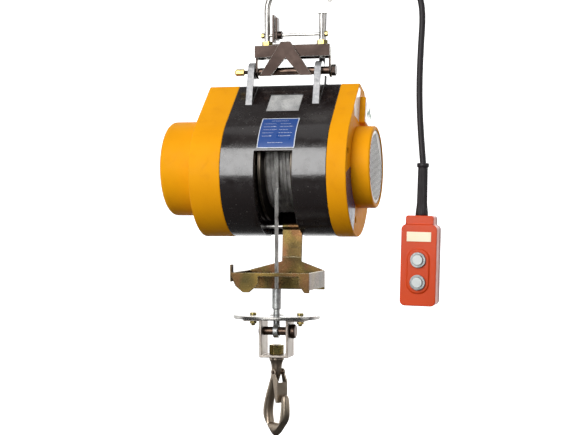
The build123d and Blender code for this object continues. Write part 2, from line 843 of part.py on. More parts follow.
def make_arm():
    """Carrier arm: a strip bent under the cord's arch, clamped to the U-bolt's right leg."""
    under = cord_radius + cord_rest
    above = []
    below = []
    first, last = arm_corners
    for i in range(first, last + 1):
        before, corner, after = (Vector(*p) for p in cord_route[i - 1:i + 2])
        along = after - before
        along = Vector(along.X, 0, along.Z).normalized()
        inwards = Vector(along.Z, 0, -along.X)
        turn = (corner - before).get_angle(after - corner)
        inset = 0.23 * min((corner - before).length, (after - corner).length)
        depth = under + inset * tan(radians(turn / 2))
        above.append(corner + inwards * depth)
        below.append(corner + inwards * (depth + arm_thick))
    points = [(p.X, p.Z) for p in above] + [(p.X, p.Z) for p in reversed(below)]
    strip = extrude(Plane.XZ * make_face(Polyline(*points, close=True)), arm_deep)
    body = Pos(0, cord_y + arm_deep / 2, 0) * strip
    left = u_half - clamp_half
    right = above[0].X + arm_thick
    foot_z = above[0].Z
    body += block(left, right, -clamp_half, clamp_half, foot_z - clamp_high, foot_z)
    body += block(right - arm_thick, right, 0, cord_y + arm_deep / 2, foot_z - clamp_high,
                  foot_z + 2)
    return body - u_shape(u_radius + running)


def hang_pendant(shape):
    """Leans a piece of the pendant about the point where the cord enters its boot."""
    turn = Pos(handset_x, cord_y, cord_end_z) * Rot(0, handset_lean, 0)
    return turn * Pos(-handset_x, -cord_y, -cord_end_z) * shape


def make_boot():
    """Rubber boot on the cord above the handset, with a ring at its top."""
    x = handset_x
    top = cord_end_z
    low = handset_top
    body = rod_z(boot_radius, low, top, x, cord_y)
    body += rod_z(boot_ring_radius, top - boot_ring_high, top, x, cord_y)
    foot = Pos(x, cord_y, low + 6) * Cone(boot_foot_radius, boot_radius, 12)
    return body + foot


def shell_block(wide, deep, z0, z1, y0, corner):
    """A rounded handset block: width about the handset's middle, depth backwards from y0."""
    body = block(handset_x - wide / 2, handset_x + wide / 2, y0, y0 + deep, z0, z1)
    return fillet(body.edges().filter_by(Axis.Y), corner)


def make_handset():
    """Front and rear shells of the pendant, hollow, split at one depth."""
    z0 = handset_bottom
    z1 = handset_top - handset_neck_high
    y0 = handset_front
    outer = shell_block(handset_wide, handset_deep, z0, z1, y0, handset_corner)
    outer += shell_block(handset_neck_wide, handset_deep - 6, z1 - 12, handset_top, y0 + 3, 4)
    wall = handset_wall
    inner = shell_block(handset_wide - 2 * wall, handset_deep - 2 * wall, z0 + wall, z1 - wall,
                        y0 + wall, handset_corner - wall)
    split = y0 + handset_split
    big = 200
    front_half = block(handset_x - big, handset_x + big, y0 - 20, split, z0 - 20, handset_top + 20)
    front = (outer - inner) & front_half
    rear = (outer - inner) - front_half
    pad_low = handset_top + button_z[1] - pad_wide / 2
    pad_high = handset_top + button_z[0] + pad_wide / 2
    pad = block(handset_x - pad_wide / 2, handset_x + pad_wide / 2, y0 - pad_proud, y0 + 1,
                pad_low, pad_high)
    front += fillet(pad.edges().filter_by(Axis.Y), pad_wide / 2 - 1)
    for z in button_z:
        front -= rod_y(bezel_radius - 2, y0 - 10, y0 + wall + 1, handset_x, handset_top + z)
    return front, rear


os.makedirs("parts", exist_ok=True)

# ---- hanger ----
bracket = make_bracket()
bracket += block(foot_left, foot_right, -9, 9, bracket_top - 1, bracket_top + foot_thick)
bracket += block(foot_right - foot_thick, foot_right, -9, 9, bracket_top, bracket_top + foot_high)
save("hanger_bracket", bracket)
save("front_gusset", make_gusset())
save("u_bolt", make_u_bolt())
rod_left = -u_half - u_radius - cross_nut_thick - 1
rod_right = u_half + u_radius + cross_nut_thick + 1
save("cross_rod", rod_x(cross_rod_radius, rod_left, rod_right, 0, cross_rod_z))
save("locking_lever", make_lock_lever())

# ---- long bolt ----
head_x = bracket_half
step_x = hoist_x + left_lug - lug_thick / 2 - 0.5
bolt = rod_x(bolt_radius, step_x, head_x, 0, -hinge_drop)
bolt += rod_x(bolt_end_radius, bolt_nut_left - 2, step_x, 0, -hinge_drop)
bolt += nut_x(bolt_head_flats, bolt_head_high, head_x, 0, -hinge_drop)
save("long_bolt", bolt)
nuts = []
nut_hole = u_radius + running
under_top = bracket_top - bracket_top_thick
for x in (-u_half, u_half):
    for z in (bracket_top, under_top - u_nut_high):
        nuts.append(nut_z(u_nut_flats, u_nut_high, nut_hole, x, 0, z))
for x in (-u_half - u_radius - cross_nut_thick, u_half + u_radius):
    nut = nut_x(cross_nut_flats, cross_nut_thick, x, 0, cross_rod_z)
    nuts.append(nut - rod_x(cross_rod_radius + running, x - 1, x + 6, 0, cross_rod_z))
lock_nut = nut_x(bolt_nut_flats, bolt_nut_long, bolt_nut_left, 0, -hinge_drop)
lock_nut -= rod_x(bolt_end_radius + running, bolt_nut_left - 1, step_x, 0, -hinge_drop)
save("hanger_nuts", *nuts, lock_nut)
tube_outer = bolt_radius + running + spacer_wall
tube_inner = bolt_radius + running
middle_left = -bracket_half + bracket_plate + gap
middle_right = hoist_x + right_lug - lug_thick / 2 - gap
end_left = hoist_x + right_lug + lug_thick / 2 + gap
save(
    "spacer_tubes",
    ring_x(tube_outer, tube_inner, middle_left, middle_right, 0, -hinge_drop),
    ring_x(tube_outer, tube_inner, end_left, bracket_half - bracket_plate, 0, -hinge_drop),
)

# ---- housing shells ----
save("main_frame", hang(make_main_frame()))
left_housing = make_cup(frame_left, left_end, left_cap_radius - cap_rim_wide, left_screws)
for hole in holes_x(left_cap_screws, left_end - 1, left_end + housing_wall + 1):
    left_housing -= hole
save("left_housing", hang(left_housing))
save("left_cap", hang(make_left_cap()))
right_housing = make_cup(frame_right, right_end, right_cap_radius - 8, right_screws)
right_housing += block(right_end - 1, right_end + box_deep, box_front, box_back, box_low, box_high)
right_housing -= block(right_end - housing_wall - 1, right_end + box_deep - 2, box_front + 3,
                       box_back - 3, box_low + 3, box_high - 3)
save("right_housing", hang(right_housing))
cover_x = right_end + box_deep
cover = block(cover_x, cover_x + box_cover_thick, box_front + 1.5, box_back - 1.5,
              box_low + 1.5, box_high - 1.5)
save("terminal_cover", hang(cover))
right_cap = rod_x(right_cap_radius, right_end, right_cap_end, 0, drum_rise)
cap_rim = right_cap.edges().filter_by(GeomType.CIRCLE).sort_by(Axis.X)[-1]
right_cap = fillet(cap_rim, 3)
lip_x = right_cap_end - grille_recess - grille_thick
right_cap -= rod_x(grille_radius, lip_x, right_cap_end + 1, 0, drum_rise)
right_cap -= rod_x(grille_radius - 3, lip_x - 3, lip_x + 1, 0, drum_rise)
right_cap -= rod_x(right_cap_radius - cap_wall, right_end - 1, lip_x - 2.5, 0, drum_rise)
save("right_cap", hang(right_cap))
save("vent_grille", hang(make_grille()))

# ---- trim on the main frame ----
plate_skin = slab(plate_thick + 0.05, plate_left, plate_right)
plate_skin -= slab(0.05, plate_left - 1, plate_right + 1)
plate_skin = plate_skin & block(-60, 60, -140, 0, plate_low, plate_high)
save("nameplate", hang(plate_skin))
glass = slab(-window_deep + window_plate_thick, -window_half + 1, window_half - 1)
glass -= slab(-window_deep, -60, 60)
glass = glass & block(-60, 60, -130, 0, window_low + 1, window_high - 1)
save("window_plate", hang(glass))

# ---- gland for the pendant cord ----
gland = Pos(gland_x, gland_y, shell_top) * hex_prism(gland_flats, 8)
gland += rod_z(gland_hole + 1.5, shell_top + 8, shell_top + gland_high, gland_x, gland_y)
gland += rod_z(gland_hole, shell_top - 12, shell_top, gland_x, gland_y)
save("cord_gland", hang(gland))

# ---- motor ----
shell_in = stator_radius + running
shell_out = shell_in + motor_shell_wall
motor_shell = ring_x(shell_out, shell_in, partition_outside, motor_shell_right, 0, drum_rise)
flange_x = partition_outside + motor_flange_thick
motor_shell += ring_x(motor_flange_radius, shell_in, partition_outside, flange_x, 0, drum_rise)
for hole in holes_x(motor_screws, partition_outside - 1, flange_x + 1):
    motor_shell -= hole
save("motor_shell", hang(motor_shell))
long_left = frame_left + screw_boss_long - 6 - left_end - screw_sink
long_right = right_end - screw_sink - frame_right + screw_boss_long - 6
housing_screws = (
    screws_x(motor_screws, flange_x, 1, 9)
    + screws_x(left_cap_screws, left_end + housing_wall, 1, 9)
    + screws_x(left_screws, left_end + screw_sink, -1, long_left)
    + screws_x(right_screws, right_end - screw_sink, 1, long_right)
)
save("housing_screws", *[hang(s) for s in housing_screws])
save("stator", hang(ring_x(stator_radius, stator_bore, stator_left, stator_right, 0, drum_rise)))
shield_x = motor_shell_right
shield = rod_x(shell_out, shield_x, shield_x + shield_thick, 0, drum_rise)
shield -= rod_x(motor_bearing_radius + running, shield_x - 1, shield_x + 6, 0, drum_rise)
save("motor_end_shield", hang(shield))
shaft = rod_x(motor_shaft_radius, fast_right, shaft_right, 0, drum_rise)
shaft += rod_x(spindle_radius, shaft_left, fast_right, 0, drum_rise)
shaft += gear_x(fast_module, fast_pinion_teeth, lay_direction, fast_left, fast_right, 0, drum_rise)
save("motor_shaft", hang(shaft))
rotor = ring_x(rotor_radius, motor_shaft_radius, stator_left, stator_right, 0, drum_rise)
save("rotor_core", hang(rotor))
save("cooling_fan", hang(make_fan()))
capacitor_z = drum_rise + shell_out + capacitor_radius + 2
capacitor = rod_x(capacitor_radius, flange_x, flange_x + capacitor_long, 0, capacitor_z)
save("run_capacitor", hang(capacitor))

# ---- drum, winding and gears ----
save("rope_drum", hang(make_drum()))
inside = drum_half - flange_thick
save("rope_winding", hang(ring_x(winding_radius, hub_radius, -inside, inside, 0, drum_rise)))
half_slow = pi / slow_gear_teeth
drum_gear = gear_x(slow_module, slow_gear_teeth, lay_direction + half_slow, slow_left, slow_right,
                   0, drum_rise)
drum_gear -= rod_x(drum_shaft_radius, slow_left - 1, slow_right + 1, 0, drum_rise)
save("drum_gear", hang(drum_gear))
lay_left = gear_plate_left
lay_right = -partition_inside
lay = rod_x(lay_shaft_radius, lay_left, lay_right, lay_y, lay_z)
lay += gear_x(slow_module, slow_pinion_teeth, lay_direction + pi, slow_left, slow_right,
              lay_y, lay_z)
save("lay_shaft", hang(lay))
half_fast = pi / fast_gear_teeth
lay_gear = gear_x(fast_module, fast_gear_teeth, lay_direction + pi + half_fast, fast_left,
                  fast_right, lay_y, lay_z)
lay_gear -= rod_x(lay_shaft_radius, fast_left - 1, fast_right + 1, lay_y, lay_z)
save("lay_gear", hang(lay_gear))
# Each bearing: outer radius, bore, its two faces, and its axis.
bearings = [
    (motor_bearing_radius, motor_shaft_radius, shield_x, shield_x + motor_bearing_wide, 0, drum_rise),
    (motor_bearing_radius, spindle_radius, gear_plate_left, gear_plate_right, 0, drum_rise),
    (drum_bearing_radius, drum_shaft_radius, -partition_outside, -partition_inside, 0, drum_rise),
    (drum_bearing_radius, drum_shaft_radius, partition_inside, partition_outside, 0, drum_rise),
    (lay_bearing_radius, lay_shaft_radius, -partition_outside, -partition_inside, lay_y, lay_z),
    (lay_bearing_radius, lay_shaft_radius, gear_plate_left, gear_plate_right, lay_y, lay_z),
]
save("bearings", *[
    hang(ring_x(outer, bore + running, x0, x1, y, z)) for outer, bore, x0, x1, y, z in bearings])
gear_plate = rod_x(gear_plate_radius, gear_plate_left, gear_plate_right, 0, drum_rise)
gear_plate -= rod_x(motor_bearing_radius, gear_plate_left - 1, gear_plate_right + 1, 0, drum_rise)
gear_plate -= rod_x(lay_bearing_radius, gear_plate_left - 1, gear_plate_right + 1, lay_y, lay_z)
for y, z in gear_posts:
    gear_plate += rod_x(gear_post_radius, gear_plate_right, -partition_outside, y, z)
    gear_plate += rod_x(screw_radius, -partition_outside, -partition_inside, y, z)
save("gear_plate", hang(gear_plate))

# ---- brake ----
disc = ring_x(brake_disc_radius, spindle_radius, brake_disc_left, brake_disc_right, 0, drum_rise)
save("brake_disc", hang(disc))
armature = ring_x(armature_radius, spindle_radius + 2, armature_left, armature_right, 0, drum_rise)
coil = ring_x(coil_radius, coil_bore, coil_left, coil_right, 0, drum_rise)
pins = [rod_x(brake_pin_radius, coil_right, armature_right, y, z) for y, z in brake_pins]
for y, z in brake_pins:
    armature -= rod_x(brake_pin_radius + running, armature_left - 1, armature_right + 1, y, z)
for pin in pins:
    coil += pin
coil += ring_x(coil_radius, coil_bore, left_cap_end + cap_wall, coil_left, 0, drum_rise)
save("brake_armature", hang(armature))
save("brake_coil", hang(coil))

# ---- limit lever ----
save("limit_lever", below(make_lever()))
save("lever_pin", hang(rod_x(lever_pin_radius, -partition_outside, partition_outside,
                             lever_pin_y, lever_pin_z)))
switch = block(4, partition_inside, lever_pin_y + 14, lever_pin_y + 26,
               lever_pin_z - 4, lever_pin_z + 6)
save("limit_switch", hang(switch))

# ---- rope end and hook block ----
save("rope_run", below(rod_z(rope_radius, ferrule_top, drum_z + rope_tail, 0, rope_y)))
ferrule = rod_z(ferrule_radius, ferrule_low, ferrule_top, 0, rope_y)
ferrule += rod_z(collar_radius, eye_pin_z + block_pin_radius + 2, ferrule_low, 0, rope_y)
eye_outer = block_pin_radius + running + eye_wall
eye = rod_x(eye_outer, -eye_thick / 2, eye_thick / 2, rope_y, eye_pin_z)
ferrule += eye
ferrule -= rod_x(block_pin_radius + running, -eye_thick, eye_thick, rope_y, eye_pin_z)
save("rope_ferrule", below(ferrule))
save("stop_plate", below(make_stop_plate()))
save("hook_yoke", below(make_yoke()))
yoke_out = yoke_half_inside + yoke_sheet
pin = rod_x(block_pin_radius, -yoke_out, yoke_out, rope_y, eye_pin_z)
left_head = Pos(-yoke_out, rope_y, eye_pin_z) * Rot(0, -90, 0) * Cylinder(
    block_pin_head_radius - 2, block_pin_left_head, align=(Align.CENTER, Align.CENTER, Align.MIN))
right_head = Pos(yoke_out, rope_y, eye_pin_z) * Rot(0, 90, 0) * Cylinder(
    block_pin_head_radius, block_pin_right_head, align=(Align.CENTER, Align.CENTER, Align.MIN))
save("block_pin", below(pin + left_head + right_head))
bolts = []
for side in (-1, 1):
    x = side * yoke_bolt_x
    under = stop_top - stop_thick - yoke_sheet
    bolt = rod_z(yoke_bolt_radius, under - 8, stop_top, x, rope_y)
    bolt += rod_z(yoke_bolt_radius + 2, stop_top, stop_top + yoke_bolt_head, x, rope_y)
    bolt += Pos(x, rope_y, under - 5) * hex_prism(10, 5)
    bolts.append(below(bolt))
save("yoke_bolts", *bolts)

# ---- hook ----
save("hook", turned(make_hook()))
save("shank_nut", turned(nut_z(shank_nut_flats, shank_nut_high - gap, shank_radius, 0, 0,
                               yoke_web_top + gap)))
pin_half = hook_thick / 2 + gap + latch_sheet + 1.5
save("latch_pin", turned(rod_y(latch_pin_radius, -pin_half, pin_half, latch_pivot_x,
                               latch_pivot_z)))
save("hook_latch", turned(make_latch()))

# ---- pendant cord and its carrier ----
save("pendant_cord", make_cord())
save("cord_arm", make_arm())
save("cord_boot", hang_pendant(make_boot()))

# ---- pendant ----
front_shell, rear_shell = make_handset()
screw_places = [(side * (handset_wide / 2 - 8), z) for side in (-1, 1)
                for z in (handset_bottom + 10, handset_top - 30)]
rear_y = handset_front + handset_deep
screws = []
for x, z in screw_places:
    post = rod_y(handset_screw_head + 1, rear_y - handset_screw_long - 2, rear_y - 1,
                 handset_x + x, z)
    rear_shell += post
    rear_shell -= rod_y(handset_screw_radius, rear_y - 20, rear_y + 1, handset_x + x, z)
    screw = rod_y(handset_screw_head, rear_y, rear_y + 1.5, handset_x + x, z)
    screws.append(screw + rod_y(handset_screw_radius, rear_y - handset_screw_long, rear_y,
                                handset_x + x, z))
save("handset_front", hang_pendant(front_shell))
save("handset_rear", hang_pendant(rear_shell))
save("handset_screws", *[hang_pendant(s) for s in screws])
pad_face = handset_front - pad_proud
bezels = []
for name, z in (("up_button", button_z[0]), ("down_button", button_z[1])):
    zz = handset_top + z
    bezel = rod_y(bezel_radius, pad_face - bezel_high, pad_face, handset_x, zz)
    bezel += rod_y(bezel_radius - 2 - seat, pad_face, handset_front + handset_wall + 3,
                   handset_x, zz)
    bore = button_radius + running
    bezel -= rod_y(bore, pad_face - bezel_high - 1, handset_front + 12, handset_x, zz)
    bezels.append(hang_pendant(bezel))
    face = pad_face - bezel_high - button_proud
    plunger_end = handset_front + handset_wall + 4
    save(name, hang_pendant(rod_y(button_radius, face, plunger_end, handset_x, zz)))
save("button_bezels", *bezels)
label = block(handset_x - label_wide / 2, handset_x + label_wide / 2, handset_front - label_thick,
              handset_front, handset_top + label_z - label_high / 2,
              handset_top + label_z + label_high / 2)
save("handset_label", hang_pendant(label))
switch_front = handset_front + handset_wall + 4 + button_travel + gap
mid_z = handset_top + (button_z[0] + button_z[1]) / 2
contact_block = block(handset_x - switch_wide / 2, handset_x + switch_wide / 2, switch_front,
                      handset_front + handset_deep - handset_wall,
                      mid_z - switch_high / 2, mid_z + switch_high / 2)
save("contact_block", hang_pendant(contact_block))
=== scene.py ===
import json
import logging
from dataclasses import dataclass
from enum import Enum
from functools import lru_cache
from math import cos, pi, radians, sin, sqrt, tan
from typing import Callable, Iterable, Sequence

import bmesh
import bpy
import numpy as np
from mathutils import Matrix, Vector

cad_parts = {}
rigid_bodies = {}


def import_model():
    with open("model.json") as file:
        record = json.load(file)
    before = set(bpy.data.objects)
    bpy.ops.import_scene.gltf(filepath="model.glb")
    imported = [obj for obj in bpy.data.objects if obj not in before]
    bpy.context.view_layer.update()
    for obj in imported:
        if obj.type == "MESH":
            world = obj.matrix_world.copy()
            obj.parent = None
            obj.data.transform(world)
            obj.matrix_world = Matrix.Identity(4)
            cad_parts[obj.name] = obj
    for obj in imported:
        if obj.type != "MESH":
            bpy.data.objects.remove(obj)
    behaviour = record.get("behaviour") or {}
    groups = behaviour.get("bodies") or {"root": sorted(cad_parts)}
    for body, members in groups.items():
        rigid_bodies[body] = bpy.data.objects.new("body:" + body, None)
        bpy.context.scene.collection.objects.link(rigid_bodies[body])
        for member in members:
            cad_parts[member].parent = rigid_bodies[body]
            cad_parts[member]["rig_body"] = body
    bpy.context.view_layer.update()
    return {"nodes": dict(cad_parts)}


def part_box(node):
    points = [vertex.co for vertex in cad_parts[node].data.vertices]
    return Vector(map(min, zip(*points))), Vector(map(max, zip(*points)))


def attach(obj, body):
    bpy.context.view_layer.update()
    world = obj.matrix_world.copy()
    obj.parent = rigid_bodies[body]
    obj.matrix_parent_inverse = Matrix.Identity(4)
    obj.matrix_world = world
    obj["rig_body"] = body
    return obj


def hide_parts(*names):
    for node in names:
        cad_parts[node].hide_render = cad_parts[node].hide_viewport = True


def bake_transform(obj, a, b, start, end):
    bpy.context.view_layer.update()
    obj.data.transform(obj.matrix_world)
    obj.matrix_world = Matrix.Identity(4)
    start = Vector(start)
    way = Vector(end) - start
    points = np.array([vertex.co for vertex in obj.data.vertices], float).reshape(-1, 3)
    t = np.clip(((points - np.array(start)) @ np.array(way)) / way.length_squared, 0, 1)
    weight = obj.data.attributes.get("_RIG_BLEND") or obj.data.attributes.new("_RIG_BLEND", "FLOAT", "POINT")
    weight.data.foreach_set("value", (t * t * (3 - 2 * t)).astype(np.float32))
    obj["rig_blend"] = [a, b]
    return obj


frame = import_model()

# Looks of a small electric wire-rope hoist: its hanger, housing, rope, limit lever, hook block,
# cord and pendant. Metres, +Z up. Sizes written in millimetres are multiplied by MM.

MM = 0.001
LOG = logging.getLogger("hoist")
Point = tuple[float, float, float]
Colour = tuple[float, float, float]


# ---------------------------------------------------------------------------------------------
# Shader writing
# ---------------------------------------------------------------------------------------------


class Grain(Enum):
    """Directions in which a metal is brushed or drawn."""

    NONE = (1.0, 1.0, 1.0)
    ALONG_X = (0.04, 1.0, 1.0)
    ALONG_Y = (1.0, 0.04, 1.0)
    ALONG_Z = (1.0, 1.0, 0.04)


class Shader:
    """Writes the node tree of one material on Object coordinates."""

    def __init__(self, name: str) -> None:
        """Makes the material.

        Args:
            name: the material's name.
        """
        self.material = bpy.data.materials.new(name)
        self.material.use_nodes = True
        self.tree = self.material.node_tree
        self.bsdf = self.tree.nodes["Principled BSDF"]
        self.place = self.add("ShaderNodeTexCoord").outputs["Object"]

    def add(self, kind: str, **settings: object) -> bpy.types.Node:
        """Adds a node.

        Args:
            kind: the node's type.
            settings: its properties by name.

        Returns:
            The new node.
        """
        node = self.tree.nodes.new(kind)
        for key, value in settings.items():
            setattr(node, key, value)
        return node

    def feed(self, socket: bpy.types.NodeSocket, value: object) -> None:
        """Links a socket or sets a plain value on an input."""
        if isinstance(value, bpy.types.NodeSocket):
            self.tree.links.new(value, socket)
        else:
            socket.default_value = value

    def stretched(self, stretch: Sequence[float], turn: Sequence[float] = (0, 0, 0)) -> bpy.types.NodeSocket:
        """Object coordinates scaled and turned, for a pattern with a direction.

        Args:
            stretch: scale along X, Y and Z.
            turn: angles about X, Y and Z, in radians.

        Returns:
            The scaled and turned coordinates.
        """
        mapping = self.add("ShaderNodeMapping")
        mapping.inputs["Scale"].default_value = stretch
        mapping.inputs["Rotation"].default_value = turn
        self.feed(mapping.inputs["Vector"], self.place)
        return mapping.outputs["Vector"]

    def noise(self, scale: float, detail: float = 3.0, stretch: Sequence[float] = (1, 1, 1),
              distortion: float = 0.0) -> bpy.types.NodeSocket:
        """A noise pattern.

        Args:
            scale: cycles per metre.
            detail: octaves of finer noise.
            stretch: scale along each axis.
            distortion: how far the pattern swirls.

        Returns:
            The pattern's value, from 0 to 1.
        """
        node = self.add("ShaderNodeTexNoise")
        node.inputs["Scale"].default_value = scale
        node.inputs["Detail"].default_value = detail
        node.inputs["Distortion"].default_value = distortion
        self.feed(node.inputs["Vector"], self.stretched(stretch))
        return node.outputs["Fac"]

    def cells(self, scale: float, stretch: Sequence[float] = (1, 1, 1)) -> bpy.types.NodeSocket:
        """Distance to the middle of random cells.

        Args:
            scale: the pattern's scale before the stretch.
            stretch: scale along X, Y and Z.

        Returns:
            The distance's socket.
        """
        node = self.add("ShaderNodeTexVoronoi")
        node.inputs["Scale"].default_value = scale
        self.feed(node.inputs["Vector"], self.stretched(stretch))
        return node.outputs["Distance"]

    def spread(self, value: bpy.types.NodeSocket, low: float, high: float,
               to_low: float = 0.0, to_high: float = 1.0) -> bpy.types.NodeSocket:
        """Maps a range of a pattern on to another range, clamped.

        Args:
            value: the pattern.
            low: the value that becomes to_low.
            high: the value that becomes to_high.
            to_low: the result at low and beyond.
            to_high: the result at high and beyond.

        Returns:
            The result's socket.
        """
        node = self.add("ShaderNodeMapRange")
        self.feed(node.inputs["Value"], value)
        for key, number in (("From Min", low), ("From Max", high), ("To Min", to_low), ("To Max", to_high)):
            node.inputs[key].default_value = number
        return node.outputs["Result"]

    def math(self, operation: str, first: object, second: object = 0.0) -> bpy.types.NodeSocket:
        """One sum on two values.

        Args:
            operation: the Math node's operation.
            first: a number or a socket.
            second: a number or a socket.

        Returns:
            The result's socket.
        """
        node = self.add("ShaderNodeMath", operation=operation)
        self.feed(node.inputs[0], first)
        self.feed(node.inputs[1], second)
        return node.outputs[0]

    def blend(self, share: bpy.types.NodeSocket, first: object, second: object) -> bpy.types.NodeSocket:
        """Mixes two colours.

        Args:
            share: 0 for the first colour, 1 for the second.
            first: a colour or a socket.
            second: a colour or a socket.

        Returns:
            The mixed colour.
        """
        node = self.add("ShaderNodeMix", data_type="RGBA")
        self.feed(node.inputs[0], share)
        for socket, value in ((node.inputs[6], first), (node.inputs[7], second)):
            self.feed(socket, (*value, 1.0) if isinstance(value, tuple) else value)
        return node.outputs[2]

    def edges(self, reach: float) -> bpy.types.NodeSocket:
        """A mask of the piece's edges, 1 at a sharp one.

        Args:
            reach: how far from the edge it shows, in metres.

        Returns:
            The mask.
        """
        rounded = self.add("ShaderNodeBevel", samples=4)
        rounded.inputs["Radius"].default_value = reach
        normal = self.add("ShaderNodeNewGeometry").outputs["Normal"]
        turn = self.add("ShaderNodeVectorMath", operation="DOT_PRODUCT")
        self.feed(turn.inputs[0], rounded.outputs["Normal"])
        self.feed(turn.inputs[1], normal)
        return self.spread(turn.outputs["Value"], 0.995, 0.86)

    def bump(self, height: bpy.types.NodeSocket, depth: float, strength: float = 1.0,
             under: bpy.types.NodeSocket | None = None) -> bpy.types.NodeSocket:
        """Turns a height into a normal.

        Args:
            height: the pattern.
            depth: its full height in metres.
            strength: share of the effect.
            under: a normal to build on.

        Returns:
            The new normal.
        """
        node = self.add("ShaderNodeBump")
        node.inputs["Strength"].default_value = strength
        node.inputs["Distance"].default_value = depth
        self.feed(node.inputs["Height"], height)
        if under is not None:
            self.feed(node.inputs["Normal"], under)
        return node.outputs["Normal"]

    def surface(self, **values: object) -> bpy.types.Material:
        """Sets the surface's inputs by name, with _ for a space, and returns the material."""
        for key, value in values.items():
            socket = self.bsdf.inputs[key.replace("_", " ")]
            self.feed(socket, (*value, 1.0) if isinstance(value, tuple) and len(value) == 3 else value)
        return self.material


# ---------------------------------------------------------------------------------------------
# Finishes
# ---------------------------------------------------------------------------------------------


@dataclass(frozen=True)
class Enamel:
    """Sprayed paint: a thin orange peel, dust, a few chips on the edges and soft stains."""

    name: str
    colour: Colour
    stain: Colour
    chip: Colour
    roughness: float = 0.28
    coat: float = 0.35
    peel: float = 0.00012
    chips: float = 0.5
    specks: float = 0.0
    shine: float = 0.5

    def build(self) -> bpy.types.Material:
        """Returns the finished material.

        Returns:
            The material.
        """
        s = Shader(self.name)
        cloud = s.spread(s.noise(14.0, 4.0), 0.35, 0.75)
        grime = s.spread(s.noise(55.0, 6.0, distortion=0.6), 0.56, 0.80)
        colour = s.blend(s.math("MULTIPLY", cloud, 0.35), self.colour, self.stain)
        colour = s.blend(s.math("MULTIPLY", grime, 0.30), colour, self.stain)
        worn = s.spread(s.noise(260.0, 5.0), 0.52, 0.66)
        edge = s.math("MULTIPLY", s.edges(0.0011), worn)
        speck = s.spread(s.cells(150.0), 0.16, 0.07)
        speck = s.math("MULTIPLY", speck, s.spread(s.noise(30.0, 2.0), 0.55, 0.70))
        speck = s.math("MULTIPLY", speck, self.specks)
        bare = s.math("MAXIMUM", s.math("MULTIPLY", edge, self.chips), speck)
        colour = s.blend(bare, colour, self.chip)
        rough = s.spread(s.noise(90.0, 5.0), 0.3, 0.75, self.roughness - 0.05, self.roughness + 0.14)
        rough = s.math("ADD", rough, s.math("MULTIPLY", bare, 0.25))
        peel = s.bump(s.noise(420.0, 2.0), self.peel)
        chip = s.bump(s.math("MULTIPLY", bare, -1.0), 0.0002, 0.6, peel)
        return s.surface(Base_Color=colour, Roughness=rough, Normal=chip, Coat_Weight=self.coat,
                         Coat_Roughness=0.10, Specular_IOR_Level=self.shine)


@dataclass(frozen=True)
class Plating:
    """Plated or bare metal: cloudy colour, drawn scratches, edge shine and fine pits."""

    name: str
    colour: Colour
    cloud: Colour
    edge: Colour
    roughness: float = 0.34
    grain: Grain = Grain.NONE
    cloud_scale: float = 30.0
    pits: float = 0.00005
    metallic: float = 1.0

    def build(self) -> bpy.types.Material:
        """Returns the finished material.

        Returns:
            The material.
        """
        s = Shader(self.name)
        cloud = s.spread(s.noise(self.cloud_scale, 5.0, distortion=0.8), 0.36, 0.66)
        fine = s.spread(s.noise(self.cloud_scale * 9, 4.0), 0.45, 0.75)
        colour = s.blend(cloud, self.colour, self.cloud)
        colour = s.blend(s.math("MULTIPLY", fine, 0.35), colour, self.cloud)
        colour = s.blend(s.math("MULTIPLY", s.edges(0.0008), 0.7), colour, self.edge)
        scratch = s.noise(900.0, 3.0, self.grain.value)
        rough = s.spread(scratch, 0.3, 0.75, self.roughness - 0.08, self.roughness + 0.16)
        normal = s.bump(scratch, self.pits)
        normal = s.bump(s.noise(180.0, 4.0), self.pits * 2, 0.6, normal)
        return s.surface(Base_Color=colour, Roughness=rough, Normal=normal, Metallic=self.metallic)


@dataclass(frozen=True)
class Passivate:
    """Yellow-passivated zinc: gold, olive, green and rose drift over each other as thin films do."""

    name: str
    gold: Colour
    olive: Colour
    rose: Colour
    shadow: Colour
    roughness: float = 0.3
    scale: float = 16.0

    def build(self) -> bpy.types.Material:
        """Returns the finished material.

        Returns:
            The material.
        """
        s = Shader(self.name)
        first = s.spread(s.noise(self.scale, 3.0, distortion=1.4), 0.38, 0.62)
        second = s.spread(s.noise(self.scale * 1.7, 3.0, (1, 1, 0.6), 1.0), 0.44, 0.66)
        third = s.spread(s.noise(self.scale * 0.8, 2.0), 0.46, 0.66)
        colour = s.blend(first, self.gold, self.olive)
        colour = s.blend(s.math("MULTIPLY", second, 0.75), colour, self.rose)
        colour = s.blend(s.math("MULTIPLY", third, 0.6), colour, self.shadow)
        colour = s.blend(s.math("MULTIPLY", s.edges(0.0009), 0.85), colour, (0.85, 0.78, 0.52))
        rough = s.spread(s.noise(500.0, 4.0), 0.3, 0.7, self.roughness - 0.08, self.roughness + 0.12)
        normal = s.bump(s.noise(320.0, 4.0), 0.00007)
        return s.surface(Base_Color=colour, Roughness=rough, Normal=normal, Metallic=0.95)


